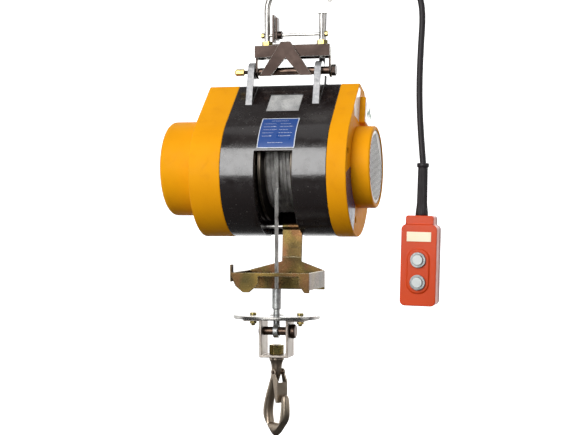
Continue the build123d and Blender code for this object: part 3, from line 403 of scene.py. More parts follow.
@dataclass(frozen=True)
class Moulding:
    """Moulded plastic or rubber: fine texture, faint flow marks and handling shine."""

    name: str
    colour: Colour
    worn: Colour
    roughness: float = 0.35
    texture: float = 0.00005
    texture_scale: float = 1600.0
    coat: float = 0.0
    ribs: float = 0.0
    shine: float = 0.5

    def build(self) -> bpy.types.Material:
        """Returns the finished material.

        Returns:
            The material.
        """
        s = Shader(self.name)
        flow = s.spread(s.noise(22.0, 4.0, (1, 1, 0.5)), 0.4, 0.7)
        dirt = s.spread(s.noise(120.0, 6.0), 0.55, 0.78)
        colour = s.blend(s.math("MULTIPLY", flow, 0.25), self.colour, self.worn)
        colour = s.blend(s.math("MULTIPLY", dirt, 0.20), colour, self.worn)
        colour = s.blend(s.math("MULTIPLY", s.edges(0.0009), 0.35), colour, self.worn)
        rough = s.spread(s.noise(70.0, 5.0), 0.3, 0.7, self.roughness - 0.06, self.roughness + 0.10)
        normal = s.bump(s.noise(self.texture_scale, 2.0), self.texture)
        if self.ribs:
            wave = s.add("ShaderNodeTexWave", wave_type="BANDS", bands_direction="Z")
            wave.inputs["Scale"].default_value = self.ribs
            s.feed(wave.inputs["Vector"], s.place)
            normal = s.bump(wave.outputs["Fac"], 0.0002, 0.5, normal)
        return s.surface(Base_Color=colour, Roughness=rough, Normal=normal, Coat_Weight=self.coat,
                         Coat_Roughness=0.15, Specular_IOR_Level=self.shine)


@dataclass(frozen=True)
class Strand:
    """Wires of a rope's strand: fine stripes on the piece's own lay coordinate, and grease."""

    name: str
    wire: Colour
    grease: Colour
    wires: float = 9.0

    def build(self) -> bpy.types.Material:
        """Returns the finished material.

        Returns:
            The material.
        """
        s = Shader(self.name)
        lay = s.add("ShaderNodeAttribute", attribute_name="lay")
        stripe = s.add("ShaderNodeTexWave", wave_type="BANDS", bands_direction="X")
        stripe.inputs["Scale"].default_value = self.wires * 0.314
        s.feed(stripe.inputs["Vector"], lay.outputs["Vector"])
        dark = s.spread(s.noise(60.0, 5.0), 0.42, 0.68)
        groove = s.spread(stripe.outputs["Fac"], 0.0, 0.45, 0.55, 0.0)
        colour = s.blend(s.math("MAXIMUM", groove, s.math("MULTIPLY", dark, 0.7)), self.wire, self.grease)
        rough = s.spread(s.noise(300.0, 4.0), 0.3, 0.7, 0.26, 0.48)
        normal = s.bump(stripe.outputs["Fac"], 0.00025)
        return s.surface(Base_Color=colour, Roughness=rough, Normal=normal, Metallic=0.9)


@dataclass(frozen=True)
class Film:
    """A printed sticker: a ground colour with cloudy marks in a second and third colour."""

    name: str
    ground: Colour
    marks: Colour
    lights: Colour
    scale: float = 90.0
    share: float = 0.5
    roughness: float = 0.3

    def build(self) -> bpy.types.Material:
        """Returns the finished material.

        Returns:
            The material.
        """
        s = Shader(self.name)
        blot = s.spread(s.noise(self.scale, 4.0, distortion=1.2), self.share, self.share + 0.05)
        fleck = s.spread(s.noise(self.scale * 2.6, 3.0), 0.60, 0.66)
        colour = s.blend(blot, self.ground, self.marks)
        colour = s.blend(s.math("MULTIPLY", fleck, 0.8), colour, self.lights)
        rough = s.spread(s.noise(140.0, 4.0), 0.3, 0.7, self.roughness - 0.06, self.roughness + 0.12)
        normal = s.bump(s.noise(260.0, 3.0), 0.00006)
        return s.surface(Base_Color=colour, Roughness=rough, Normal=normal, Coat_Weight=0.3)


@dataclass(frozen=True)
class Coil:
    """Lacquered copper windings: close turns with varnish."""

    name: str
    copper: Colour = (0.55, 0.22, 0.08)
    varnish: Colour = (0.20, 0.07, 0.02)

    def build(self) -> bpy.types.Material:
        """Returns the finished material.

        Returns:
            The material.
        """
        s = Shader(self.name)
        turns = s.add("ShaderNodeTexWave", wave_type="BANDS", bands_direction="X")
        turns.inputs["Scale"].default_value = 260.0
        turns.inputs["Distortion"].default_value = 1.2
        s.feed(turns.inputs["Vector"], s.place)
        colour = s.blend(turns.outputs["Fac"], self.varnish, self.copper)
        rough = s.spread(s.noise(120.0, 3.0), 0.3, 0.7, 0.3, 0.45)
        normal = s.bump(turns.outputs["Fac"], 0.0004)
        return s.surface(Base_Color=colour, Roughness=rough, Normal=normal, Metallic=0.7)


class Finishes:
    """Every material of the hoist, made once."""

    def __init__(self) -> None:
        """Builds the materials."""
        self.yellow = Enamel("yellow_paint", (0.80, 0.335, 0.004), (0.60, 0.21, 0.004), (0.30, 0.20, 0.10),
                             roughness=0.5, coat=0.0, chips=0.3, shine=0.06).build()
        self.black = Enamel("black_enamel", (0.009, 0.006, 0.006), (0.022, 0.016, 0.015), (0.30, 0.28, 0.26),
                            roughness=0.2, coat=0.6, chips=0.55, specks=0.5).build()
        self.cast = Plating("ground_casting", (0.36, 0.36, 0.36), (0.22, 0.22, 0.23), (0.7, 0.7, 0.7),
                            roughness=0.46, cloud_scale=160.0, pits=0.00025, metallic=0.6).build()
        # Dark steel; on the hanger bracket, gusset and locking lever its dark colour is painted shade.
        self.dark_steel_and_shade = Plating("dark_steel_and_painted_shade", (0.038, 0.027, 0.023), (0.020, 0.014, 0.012),
                              (0.70, 0.68, 0.62), roughness=0.34, cloud_scale=24.0).build()
        # Bright zinc; on the hanger bracket's up- and side-facing faces and the lever's -X faces it is
        # painted light.
        self.zinc = Plating("bright_zinc_and_painted_light", (0.66, 0.65, 0.62), (0.42, 0.40, 0.37), (0.86, 0.85, 0.82),
                            roughness=0.28, grain=Grain.ALONG_Z, cloud_scale=45.0).build()
        self.plate = Plating("polished_zinc_plate", (0.42, 0.41, 0.39), (0.29, 0.28, 0.26), (0.8, 0.8, 0.78),
                             roughness=0.22, cloud_scale=18.0).build()
        self.strap = Plating("dull_steel_strap", (0.40, 0.36, 0.32), (0.26, 0.22, 0.19), (0.74, 0.72, 0.68),
                             roughness=0.38, grain=Grain.ALONG_Z, cloud_scale=40.0).build()
        self.pin = Plating("brown_oxide_steel", (0.17, 0.115, 0.085), (0.075, 0.05, 0.04), (0.45, 0.38, 0.32),
                           roughness=0.36, cloud_scale=60.0).build()
        self.forged = Plating("forged_hook_steel", (0.42, 0.355, 0.275), (0.27, 0.215, 0.165),
                              (0.62, 0.55, 0.46), roughness=0.36, cloud_scale=35.0, pits=0.00012).build()
        self.galvanised = Plating("galvanised_sleeve", (0.52, 0.53, 0.52), (0.30, 0.31, 0.31),
                                  (0.74, 0.74, 0.73), roughness=0.42, cloud_scale=240.0, pits=0.0003).build()
        self.passivate = Passivate("yellow_passivate", (0.120, 0.080, 0.022), (0.048, 0.037, 0.013),
                             (0.098, 0.042, 0.020), (0.028, 0.015, 0.008)).build()
        self.brass = Passivate("gold_zinc_nut", (0.50, 0.40, 0.13), (0.30, 0.26, 0.09), (0.28, 0.17, 0.07),
                               (0.15, 0.11, 0.05), roughness=0.26, scale=70.0).build()
        self.machined = Plating("machined_steel", (0.46, 0.46, 0.47), (0.30, 0.30, 0.31), (0.7, 0.7, 0.7),
                                roughness=0.3, grain=Grain.ALONG_X).build()
        self.alloy = Plating("cast_alloy", (0.60, 0.60, 0.61), (0.44, 0.44, 0.46), (0.75, 0.75, 0.75),
                             roughness=0.45, cloud_scale=110.0, pits=0.0002).build()
        self.flange = Plating("oiled_flange", (0.115, 0.095, 0.075), (0.05, 0.042, 0.036), (0.42, 0.36, 0.26),
                              roughness=0.36, cloud_scale=30.0).build()
        # Pale mottled grey on the window plate: a painted reflection of the front light on black paint.
        self.window = Plating("window_painted_reflection", (0.72, 0.72, 0.70), (0.40, 0.40, 0.40), (0.8, 0.8, 0.8),
                              roughness=0.3, cloud_scale=42.0, pits=0.0004, metallic=0.35).build()
        self.grille = Enamel("grille_paint", (0.78, 0.79, 0.76), (0.62, 0.63, 0.60), (0.35, 0.33, 0.30),
                             roughness=0.34, coat=0.3, chips=0.2).build()
        self.orange = Moulding("orange_moulding", (0.60, 0.058, 0.008), (0.42, 0.040, 0.008), roughness=0.34,
                             coat=0.10, texture=0.00003, shine=0.15).build()
        # A darker copy of the orange moulding: painted shade on the rear shell.
        self.red = Moulding("rear_shell_in_painted_shade", (0.26, 0.028, 0.010), (0.15, 0.020, 0.010), roughness=0.34,
                             coat=0.0, texture=0.00004, shine=0.06).build()
        self.cream = Moulding("cream_label", (0.86, 0.78, 0.56), (0.74, 0.62, 0.38), roughness=0.34,
                              coat=0.2).build()
        self.bezel = Plating("bezel_steel", (0.25, 0.26, 0.26), (0.14, 0.15, 0.15), (0.6, 0.62, 0.62),
                             roughness=0.32, cloud_scale=90.0).build()
        self.cap = Moulding("white_button_cap", (0.55, 0.59, 0.58), (0.36, 0.40, 0.41), roughness=0.22,
                            coat=0.6, texture=0.00012, texture_scale=420.0).build()
        self.rubber = Moulding("black_rubber", (0.014, 0.011, 0.013), (0.030, 0.025, 0.027),
                               roughness=0.5, shine=0.35,
                               texture=0.00008, texture_scale=900.0).build()
        # Black plastic; on the grille's slat sides it is painted shade.
        self.black_plastic = Moulding("black_moulding_and_painted_shade", (0.018, 0.018, 0.018), (0.05, 0.05, 0.05),
                                      roughness=0.4).build()
        self.rope = Strand("bright_wire", (0.62, 0.61, 0.59), (0.13, 0.115, 0.10)).build()
        # A darker copy of the rope's finish: painted shade for the turns under the top layer and for the
        # filler.
        self.rope_in_painted_shade = Strand("wire_in_painted_shade", (0.42, 0.39, 0.35), (0.055, 0.045, 0.038)).build()
        self.blue = Enamel("plate_blue", (0.010, 0.060, 0.26), (0.010, 0.04, 0.18), (0.5, 0.5, 0.52),
                           roughness=0.3, coat=0.3, chips=0.2).build()
        self.print = Enamel("plate_print", (0.72, 0.75, 0.80), (0.50, 0.54, 0.62), (0.3, 0.3, 0.4),
                            roughness=0.35, coat=0.2, chips=0.0).build()
        self.paper = Film("white_sticker", (0.86, 0.86, 0.85), (0.80, 0.81, 0.80), (0.74, 0.76, 0.76),
                          share=0.56).build()
        self.green = Moulding("green_print", (0.03, 0.22, 0.09), (0.05, 0.30, 0.14), roughness=0.4).build()
        self.crescent = Film("blue_sticker", (0.020, 0.016, 0.085), (0.035, 0.045, 0.17), (0.20, 0.17, 0.28),
                             scale=70.0).build()
        self.copper = Coil("copper_winding").build()


# ---------------------------------------------------------------------------------------------
# Mesh tools
# ---------------------------------------------------------------------------------------------


def linked(name: str, mesh: bpy.types.Mesh, *materials: bpy.types.Material) -> bpy.types.Object:
    """Puts a mesh into the scene as an object with its materials.

    Args:
        name: the piece's name.
        mesh: its mesh, in place.
        materials: the materials, the first one for all faces that say nothing else.

    Returns:
        The new object.
    """
    piece = bpy.data.objects.new(name, mesh)
    bpy.context.scene.collection.objects.link(piece)
    if materials and len(mesh.materials):
        mesh.materials.clear()
    for material in materials:
        mesh.materials.append(material)
    return piece


def shade(mesh: bpy.types.Mesh, sharp: float = 32.0) -> bpy.types.Mesh:
    """Shades a mesh smooth, with edges over an angle in degrees kept sharp.

    Args:
        mesh: the mesh, changed in place.
        sharp: the angle in degrees.

    Returns:
        The same mesh.
    """
    work = bmesh.new()
    work.from_mesh(mesh)
    for face in work.faces:
        face.smooth = True
    for edge in work.edges:
        edge.smooth = len(edge.link_faces) == 2 and edge.calc_face_angle(0.0) < radians(sharp)
    work.to_mesh(mesh)
    work.free()
    return mesh


def loft(name: str, rings: Sequence[Sequence[Point]], closed: bool = False,
         sharp: float = 32.0) -> bpy.types.Mesh:
    """A closed skin through rings of points.

    Args:
        name: the mesh's name.
        rings: rings with the same number of points each.
        closed: whether the last ring joins the first, as on a torus.
        sharp: angle in degrees over which edges stay sharp.

    Returns:
        The mesh, with its ends capped when it isn't closed.
    """
    work = bmesh.new()
    rows = [[work.verts.new(p) for p in ring] for ring in rings]
    count = len(rows[0])
    pairs = list(zip(rows, rows[1:])) + ([(rows[-1], rows[0])] if closed else [])
    for low, high in pairs:
        for i in range(count):
            j = (i + 1) % count
            work.faces.new((low[i], low[j], high[j], high[i]))
    if not closed:
        work.faces.new(list(reversed(rows[0])))
        work.faces.new(rows[-1])
    bmesh.ops.recalc_face_normals(work, faces=work.faces)
    mesh = bpy.data.meshes.new(name)
    work.to_mesh(mesh)
    work.free()
    return shade(mesh, sharp)


def turned_solid(name: str, profile: Sequence[tuple[float, float]], place: Matrix,
                 segments: int = 48) -> bpy.types.Mesh:
    """A solid turned about Z.

    Args:
        name: the mesh's name.
        profile: (radius, height) pairs from one end to the other.
        place: where it goes.
        segments: sides of the round.

    Returns:
        The closed mesh.
    """
    turns = [2 * pi * i / segments for i in range(segments)]
    return loft(name, [[tuple(place @ Vector((radius * cos(t), radius * sin(t), height))) for t in turns]
                       for radius, height in profile])


def merged(name: str, meshes: Iterable[bpy.types.Mesh]) -> bpy.types.Mesh:
    """Joins several meshes into one.

    Args:
        name: the new mesh's name.
        meshes: the meshes to join.

    Returns:
        The new mesh.
    """
    work = bmesh.new()
    for mesh in meshes:
        work.from_mesh(mesh)
    out = bpy.data.meshes.new(name)
    work.to_mesh(out)
    work.free()
    return out


def outline_solid(name: str, points: Sequence[Vector], thick: Vector) -> bpy.types.Mesh:
    """A flat outline given a thickness.

    Args:
        name: the mesh's name.
        points: the outline's corners in order.
        thick: the way and distance it is thickened.

    Returns:
        The closed mesh.
    """
    work = bmesh.new()
    face = work.faces.new([work.verts.new(p) for p in points])
    made = bmesh.ops.extrude_face_region(work, geom=[face])
    bmesh.ops.translate(work, vec=thick, verts=[v for v in made["geom"] if isinstance(v, bmesh.types.BMVert)])
    bmesh.ops.recalc_face_normals(work, faces=work.faces)
    mesh = bpy.data.meshes.new(name)
    work.to_mesh(mesh)
    work.free()
    return mesh


def rounded(piece: bpy.types.Object, width: float, segments: int = 2,
            angle: float = 30.0) -> bpy.types.Object:
    """Rounds a piece's sharp edges.

    Args:
        piece: the object.
        width: the round's width in metres.
        segments: steps across the round.
        angle: edges sharper than this many degrees are rounded.

    Returns:
        The same object, with modifiers.
    """
    bevel = piece.modifiers.new("edge_round", "BEVEL")
    bevel.width = width
    bevel.segments = segments
    bevel.limit_method = "ANGLE"
    bevel.angle_limit = radians(angle)
    bevel.use_clamp_overlap = False
    bevel.miter_outer = "MITER_ARC"
    normals = piece.modifiers.new("face_normals", "WEIGHTED_NORMAL")
    normals.keep_sharp = False
    return piece


def softened(node: str, width: float, *materials: bpy.types.Material,
             pick: Callable[[Vector, Vector], int] | None = None, segments: int = 2,
             angle: float = 30.0) -> bpy.types.Object:
    """A copy of a CAD node with its edges rounded, which stands for the node.

    Args:
        node: the node's name.
        width: the round's width in metres.
        materials: its materials.
        pick: gives a face's material number from its middle and normal.
        segments: steps across the round.
        angle: edges sharper than this many degrees are rounded.

    Returns:
        The new piece, riding on the node's body.
    """
    work = bmesh.new()
    work.from_mesh(frame["nodes"][node].data)
    bmesh.ops.remove_doubles(work, verts=work.verts, dist=2e-6)
    if width:
        bmesh.ops.dissolve_degenerate(work, edges=work.edges, dist=2e-6)
        bmesh.ops.dissolve_limit(work, angle_limit=radians(0.4), verts=work.verts, edges=work.edges)
    for face in work.faces:
        face.smooth = bool(width)
        face.material_index = pick(face.calc_center_median(), face.normal) if pick else 0
    mesh = bpy.data.meshes.new(node + "_shape")
    work.to_mesh(mesh)
    work.free()
    for name in [a.name for a in mesh.attributes if a.name in ("custom_normal", "sharp_edge", "sharp_face")]:
        mesh.attributes.remove(mesh.attributes[name])
    piece = linked(node + "_shape", mesh, *materials)
    if width:
        rounded(piece, width, segments, angle)
    return stands_for(piece, node)


def stands_for(piece: bpy.types.Object, *nodes: str, body: str = "") -> bpy.types.Object:
    """Lets a piece replace CAD nodes and ride on their body.

    Args:
        piece: the piece.
        nodes: the nodes that it replaces.
        body: the body it rides on, the first node's if empty.

    Returns:
        The same piece.
    """
    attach(piece, body or frame["nodes"][nodes[0]]["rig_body"])
    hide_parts(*nodes)
    LOG.info("%s stands for %s", piece.name, ", ".join(nodes))
    return piece


def added(piece: bpy.types.Object, body: str) -> bpy.types.Object:
    """Lets a small extra piece ride on a body.

    Args:
        piece: the extra piece.
        body: the body that it rides on.

    Returns:
        The same piece.
    """
    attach(piece, body)
    LOG.info("%s rides on %s", piece.name, body)
    return piece


def dress(material: bpy.types.Material, *nodes: str) -> None:
    """Gives CAD nodes that stay as they are a material."""
    for node in nodes:
        for place in frame["nodes"][node].material_slots:
            place.material = material
        LOG.info("%s is dressed in %s", node, material.name)


# ---------------------------------------------------------------------------------------------
# Geometry node trees
# ---------------------------------------------------------------------------------------------


class NodeTree:
    """A geometry node tree with named inputs, used once and turned into a plain mesh."""

    def __init__(self, name: str, **inputs: tuple[str, object]) -> None:
        """Makes the tree.

        Args:
            name: the tree's name.
            inputs: each input's socket type and value, by its name with _ for a space.
        """
        self.tree = bpy.data.node_groups.new(name, "GeometryNodeTree")
        self.values = {}
        self.tree.interface.new_socket("Geometry", in_out="INPUT", socket_type="NodeSocketGeometry")
        for key, (kind, value) in inputs.items():
            socket = self.tree.interface.new_socket(key.replace("_", " "), in_out="INPUT", socket_type=kind)
            self.values[socket.identifier] = value
        self.tree.interface.new_socket("Geometry", in_out="OUTPUT", socket_type="NodeSocketGeometry")
        self.entry = self.add("NodeGroupInput")
        self.exit = self.add("NodeGroupOutput")

    def add(self, kind: str, **settings: object) -> bpy.types.Node:
        """Adds a node with its properties set.

        Args:
            kind: the node's type.
            settings: its properties by name.

        Returns:
            The new node.
        """
        node = self.tree.nodes.new(kind)
        for key, value in settings.items():
            setattr(node, key, value)
        return node

    def run(self, kind: str, feeds: dict, out: int | str = 0, **settings: object) -> bpy.types.NodeSocket:
        """Adds a node, feeds its inputs and gives one output.

        Args:
            kind: the node's type.
            feeds: sockets or plain values by input name or number.
            out: the output's name or number.
            settings: its properties.

        Returns:
            The output socket.
        """
        node = self.add(kind, **settings)
        for key, value in feeds.items():
            if isinstance(value, bpy.types.NodeSocket):
                self.tree.links.new(value, node.inputs[key])
            else:
                node.inputs[key].default_value = value
        return node.outputs[out]

    def given(self, name: str) -> bpy.types.NodeSocket:
        """An input of the tree by name."""
        return self.entry.outputs[name]

    def sum(self, operation: str, first: object, second: object) -> bpy.types.NodeSocket:
        """One sum on two numbers."""
        return self.run("ShaderNodeMath", {0: first, 1: second}, operation=operation)

    def finish(self, geometry: bpy.types.NodeSocket) -> None:
        """Realizes the instances and sets the material on what comes out.

        Args:
            geometry: the geometry that the tree ends with.
        """
        real = self.run("GeometryNodeRealizeInstances", {"Geometry": geometry})
        done = self.run("GeometryNodeSetMaterial", {"Geometry": real, "Material": self.given("Finish")})
        self.tree.links.new(done, self.exit.inputs[0])

    def made(self, name: str, source: bpy.types.Object) -> bpy.types.Object:
        """Runs the tree on an object and keeps the result as a plain mesh.

        Args:
            name: the new piece's name.
            source: the object it runs on, which is removed.

        Returns:
            The new piece, with no modifier.
        """
        modifier = source.modifiers.new("build", "NODES")
        modifier.node_group = self.tree
        for identifier, value in self.values.items():
            modifier[identifier] = value
        graph = bpy.context.evaluated_depsgraph_get()
        mesh = bpy.data.meshes.new_from_object(source.evaluated_get(graph), depsgraph=graph)
        bpy.data.objects.remove(source)
        mesh.name = name
        piece = bpy.data.objects.new(name, mesh)
        bpy.context.scene.collection.objects.link(piece)
        return piece


def stamped(name: str, stamp: bpy.types.Mesh, places: Sequence[Matrix],
            finish: bpy.types.Material) -> bpy.types.Object:
    """Repeats one mesh at many places with geometry nodes.

    Args:
        name: the new piece's name.
        stamp: the mesh, at the origin along Z.
        places: where each copy goes.
        finish: its material.

    Returns:
        The new piece.
    """
    points = bpy.data.meshes.new(name + "_places")
    points.from_pydata([tuple(p.translation) for p in places], [], [])
    turns = points.attributes.new("turn", "FLOAT_VECTOR", "POINT")
    for item, place in zip(turns.data, places):
        item.vector = place.to_euler()
    sample = linked(name + "_stamp", stamp)
    tree = NodeTree(name + "_tree", Stamp=("NodeSocketObject", sample), Size=("NodeSocketFloat", 1.0),
                    Finish=("NodeSocketMaterial", finish))
    shape = tree.run("GeometryNodeObjectInfo", {"Object": tree.given("Stamp")}, "Geometry")
    turn = tree.run("GeometryNodeInputNamedAttribute", {"Name": "turn"}, 0, data_type="FLOAT_VECTOR")
    turn = tree.run("FunctionNodeEulerToRotation", {0: turn})
    copies = tree.run("GeometryNodeInstanceOnPoints", {
        "Points": tree.given("Geometry"), "Instance": shape, "Rotation": turn, "Scale": tree.given("Size")})
    tree.finish(copies)
    piece = tree.made(name, linked(name + "_points", points))
    bpy.data.objects.remove(sample)
    return piece


def stranded(name: str, path: Sequence[Point], radius: float, lay: float, step: float,
             finish: bpy.types.Material, strands: int = 6, sides: int = 8) -> bpy.types.Object:
    """A rope of twisted strands along a path, made with geometry nodes.

    Args:
        name: the new piece's name.
        path: points that the rope's middle follows.
        radius: the rope's radius.
        lay: length of one turn of a strand.
        step: length of one segment.
        finish: its material.
        strands: strands in the rope.
        sides: sides of one strand.

    Returns:
        The new piece, with its lay coordinate in the attribute lay.
    """
    curve = bpy.data.curves.new(name + "_path", "CURVE")
    curve.dimensions = "3D"
    spline = curve.splines.new("POLY")
    spline.points.add(len(path) - 1)
    for point, place in zip(spline.points, path):
        point.co = (*place, 1.0)
    source = bpy.data.objects.new(name + "_path", curve)
    bpy.context.scene.collection.objects.link(source)
    thin = radius / (1 + 1 / sin(pi / strands))
    tree = NodeTree(name + "_tree", Ring=("NodeSocketFloat", radius - thin),
                    Strand=("NodeSocketFloat", thin * 1.08), Lay=("NodeSocketFloat", lay),
                    Step=("NodeSocketFloat", step), Strands=("NodeSocketInt", strands),
                    Finish=("NodeSocketMaterial", finish))
    feeds = {"Curve": tree.given("Geometry"), "Length": tree.given("Step")}
    even = tree.run("GeometryNodeResampleCurve", feeds,
                    mode="LENGTH")
    copies = tree.add("GeometryNodeDuplicateElements", domain="SPLINE")
    tree.tree.links.new(even, copies.inputs["Geometry"])
    tree.tree.links.new(tree.given("Strands"), copies.inputs["Amount"])
    along = tree.run("GeometryNodeSplineParameter", {}, "Length")
    first = tree.sum("DIVIDE", copies.outputs["Duplicate Index"], tree.given("Strands"))
    turns = tree.sum("ADD", first, tree.sum("DIVIDE", along, tree.given("Lay")))
    angle = tree.sum("MULTIPLY", turns, 2 * pi)
    normal = tree.run("GeometryNodeInputNormal", {})
    tangent = tree.run("GeometryNodeInputTangent", {})
    out = tree.run("ShaderNodeVectorRotate", {"Vector": normal, "Axis": tangent, "Angle": angle},
                   rotation_type="AXIS_ANGLE")
    out = tree.run("ShaderNodeVectorMath", {0: out, "Scale": tree.given("Ring")}, operation="SCALE")
    moved = tree.run("GeometryNodeSetPosition", {"Geometry": copies.outputs["Geometry"], "Offset": out})
    keep = tree.add("GeometryNodeStoreNamedAttribute", data_type="FLOAT", domain="POINT")
    keep.inputs["Name"].default_value = "along"
    tree.tree.links.new(moved, keep.inputs["Geometry"])
    tree.tree.links.new(along, keep.inputs["Value"])
    ring = tree.run("GeometryNodeCurvePrimitiveCircle", {"Resolution": sides, "Radius": tree.given("Strand")})
    around = tree.add("GeometryNodeStoreNamedAttribute", data_type="FLOAT", domain="POINT")
    around.inputs["Name"].default_value = "around"
    tree.tree.links.new(ring, around.inputs["Geometry"])
    tree.tree.links.new(tree.run("GeometryNodeSplineParameter", {}, "Factor"), around.inputs["Value"])
    body = tree.run("GeometryNodeCurveToMesh", {
        "Curve": keep.outputs["Geometry"], "Profile Curve": around.outputs["Geometry"], "Fill Caps": True})
    far = tree.run("GeometryNodeInputNamedAttribute", {"Name": "along"}, 0, data_type="FLOAT")
    near = tree.run("GeometryNodeInputNamedAttribute", {"Name": "around"}, 0, data_type="FLOAT")
    slant = tree.sum("ADD", tree.sum("MULTIPLY", near, 2.0), tree.sum("DIVIDE", far, tree.given("Lay")))
    both = tree.run("ShaderNodeCombineXYZ", {"X": slant, "Y": far})
    store = tree.add("GeometryNodeStoreNamedAttribute", data_type="FLOAT_VECTOR", domain="POINT")
    store.inputs["Name"].default_value = "lay"
    tree.tree.links.new(body, store.inputs["Geometry"])
    tree.tree.links.new(both, store.inputs["Value"])
    smooth = tree.run("GeometryNodeSetShadeSmooth", {"Geometry": store.outputs["Geometry"]})
    tree.finish(smooth)
    return tree.made(name, source)


# ---------------------------------------------------------------------------------------------
# Places worked out from the frame
# ---------------------------------------------------------------------------------------------


@lru_cache(maxsize=None)
def middle(node: str) -> Vector:
    """The middle of a CAD node's box."""
    low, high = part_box(node)
    return ((low + high) / 2).freeze()


@dataclass(frozen=True)
class Shell:
    """The housing's shell: a round belly, two tapering flanks and a flat top, leaning back."""

    radius: float = 100 * MM
    top: float = 143.7 * MM
    taper: float = radians(35.0)
    lean: float = radians(-15.0)
    drum_rise: float = 10 * MM

    @property
    def place(self) -> Matrix:
        """From the upright housing to where it hangs, with X from the rope slot's middle.

        Returns:
            The matrix.
        """
        drum = middle("rope_drum")
        turn = Matrix.Rotation(self.lean, 4, "X")
        centre = Vector((ROPE_X, drum.y, drum.z)) - turn @ Vector((0, 0, self.drum_rise))
        return Matrix.Translation(centre) @ turn

    def front(self, height: float, proud: float) -> tuple[float, float]:
        """The shell's front line.

        Args:
            height: above the shell's centre, upright.
            proud: how far outside the shell.

        Returns:
            (y, z) in the upright housing.
        """
        reach = self.radius + proud
        turn_z = reach * sin(self.taper)
        if height < turn_z:
            return -sqrt(reach**2 - height**2), height
        return -(reach * cos(self.taper) - (height - turn_z) * tan(self.taper)), height


ROPE_X = middle("rope_run").x
ROPE_Y = middle("rope_run").y
SHELL = Shell()


def housing_point(x: float, y: float, z: float) -> Vector:
    """A point given in the upright housing, where it hangs."""
    return SHELL.place @ Vector((x, y, z))


# ---------------------------------------------------------------------------------------------
# Sub-assemblies
# ---------------------------------------------------------------------------------------------


@dataclass
class Studio:
    """Camera, pale floor and soft lights."""

    lens: float = 82.9
    eye: Point = (0.4926, -2.039, -0.371)
    azimuth: float = radians(14.0)
    floor_z: float = -1.25
    half: float = 9.0
    bend: float = 2.5

    def build(self) -> None:
        """Makes the whole studio."""
        self.camera()
        self.floor()
        self.world()
        for name, place, target, size, power in (
            ("front_box", (-0.692, -2.735, 0.736), (-0.01, 0, -0.29), (1.9, 2.65), 112),
            ("top", (0.1, -0.2, 1.6), (0, 0, -0.3), (1.6, 1.2), 3),
            ("right_side", (2.1, -0.7, 0.1), (0.1, 0, -0.3), (1.0, 1.7), 8),
            ("left_side", (-2.2, 0.1, -0.2), (0, 0, -0.3), (1.0, 1.7), 8),
            ("back", (0.2, 2.4, 0.5), (0, 0, -0.3), (2.2, 1.2), 14),
        ):
            self.light(name, Vector(place), Vector(target), size, power)

    def camera(self) -> None:
        """Sets the camera level with the housing, to the right of the front."""
        data = bpy.data.cameras.new("camera")
        data.lens = self.lens
        data.sensor_width = 36.0
        data.clip_start = 0.05
        data.clip_end = 60.0
        camera = bpy.data.objects.new("camera", data)
        bpy.context.scene.collection.objects.link(camera)
        camera.location = self.eye
        camera.rotation_euler = (pi / 2, 0.0, self.azimuth)
        bpy.context.scene.camera = camera

    def floor(self) -> None:
        """Makes a floor that bends up into a back wall."""
        work = bmesh.new()
        steps = 24
        profile = [(-self.half, self.floor_z)]
        for i in range(steps + 1):
            turn = pi / 2 * i / steps
            out, up = self.bend * sin(turn) - self.bend, self.bend * (1 - cos(turn))
            profile.append((self.half + out, self.floor_z + up))
        profile.append((self.half, self.floor_z + 2 * self.half))
        rows = [[work.verts.new((x, y, z)) for y, z in profile] for x in (-2 * self.half, 2 * self.half)]
        for i in range(len(profile) - 1):
            work.faces.new((rows[0][i], rows[1][i], rows[1][i + 1], rows[0][i + 1]))
        mesh = bpy.data.meshes.new("floor")
        work.to_mesh(mesh)
        work.free()
        s = Shader("pale_floor")
        depth = s.add("ShaderNodeSeparateXYZ")
        s.feed(depth.inputs["Vector"], s.place)
        far = s.spread(depth.outputs["Y"], 0.9, 2.4)
        s.surface(Base_Color=s.blend(far, (0.05, 0.05, 0.05), (0.9, 0.9, 0.9)), Roughness=0.8,
                  Emission_Color=(1.0, 1.0, 1.0), Emission_Strength=s.math("MULTIPLY", far, 0.95))
        linked("floor", shade(mesh), s.material)

    def world(self) -> None:
        """Gives an even white surround."""
        world = bpy.data.worlds.new("surround")
        world.use_nodes = True
        background = world.node_tree.nodes["Background"]
        background.inputs["Color"].default_value = (1.0, 1.0, 1.0, 1.0)
        background.inputs["Strength"].default_value = 0.16
        bpy.context.scene.world = world
        bpy.context.scene.view_settings.view_transform = "Standard"
        bpy.context.scene.view_settings.look = "None"

    def light(self, name: str, place: Vector, target: Vector, size: tuple[float, float],
              power: float) -> None:
        """Adds one soft box.

        Args:
            name: the lamp's name.
            place: its middle.
            target: where it points.
            size: width and height.
            power: watts.
        """
        data = bpy.data.lights.new(name, "AREA")
        data.shape = "RECTANGLE"
        data.size, data.size_y = size
        data.energy = power
        lamp = bpy.data.objects.new(name, data)
        bpy.context.scene.collection.objects.link(lamp)
        lamp.location = place
        lamp.rotation_euler = (target - place).to_track_quat("-Z", "Y").to_euler()


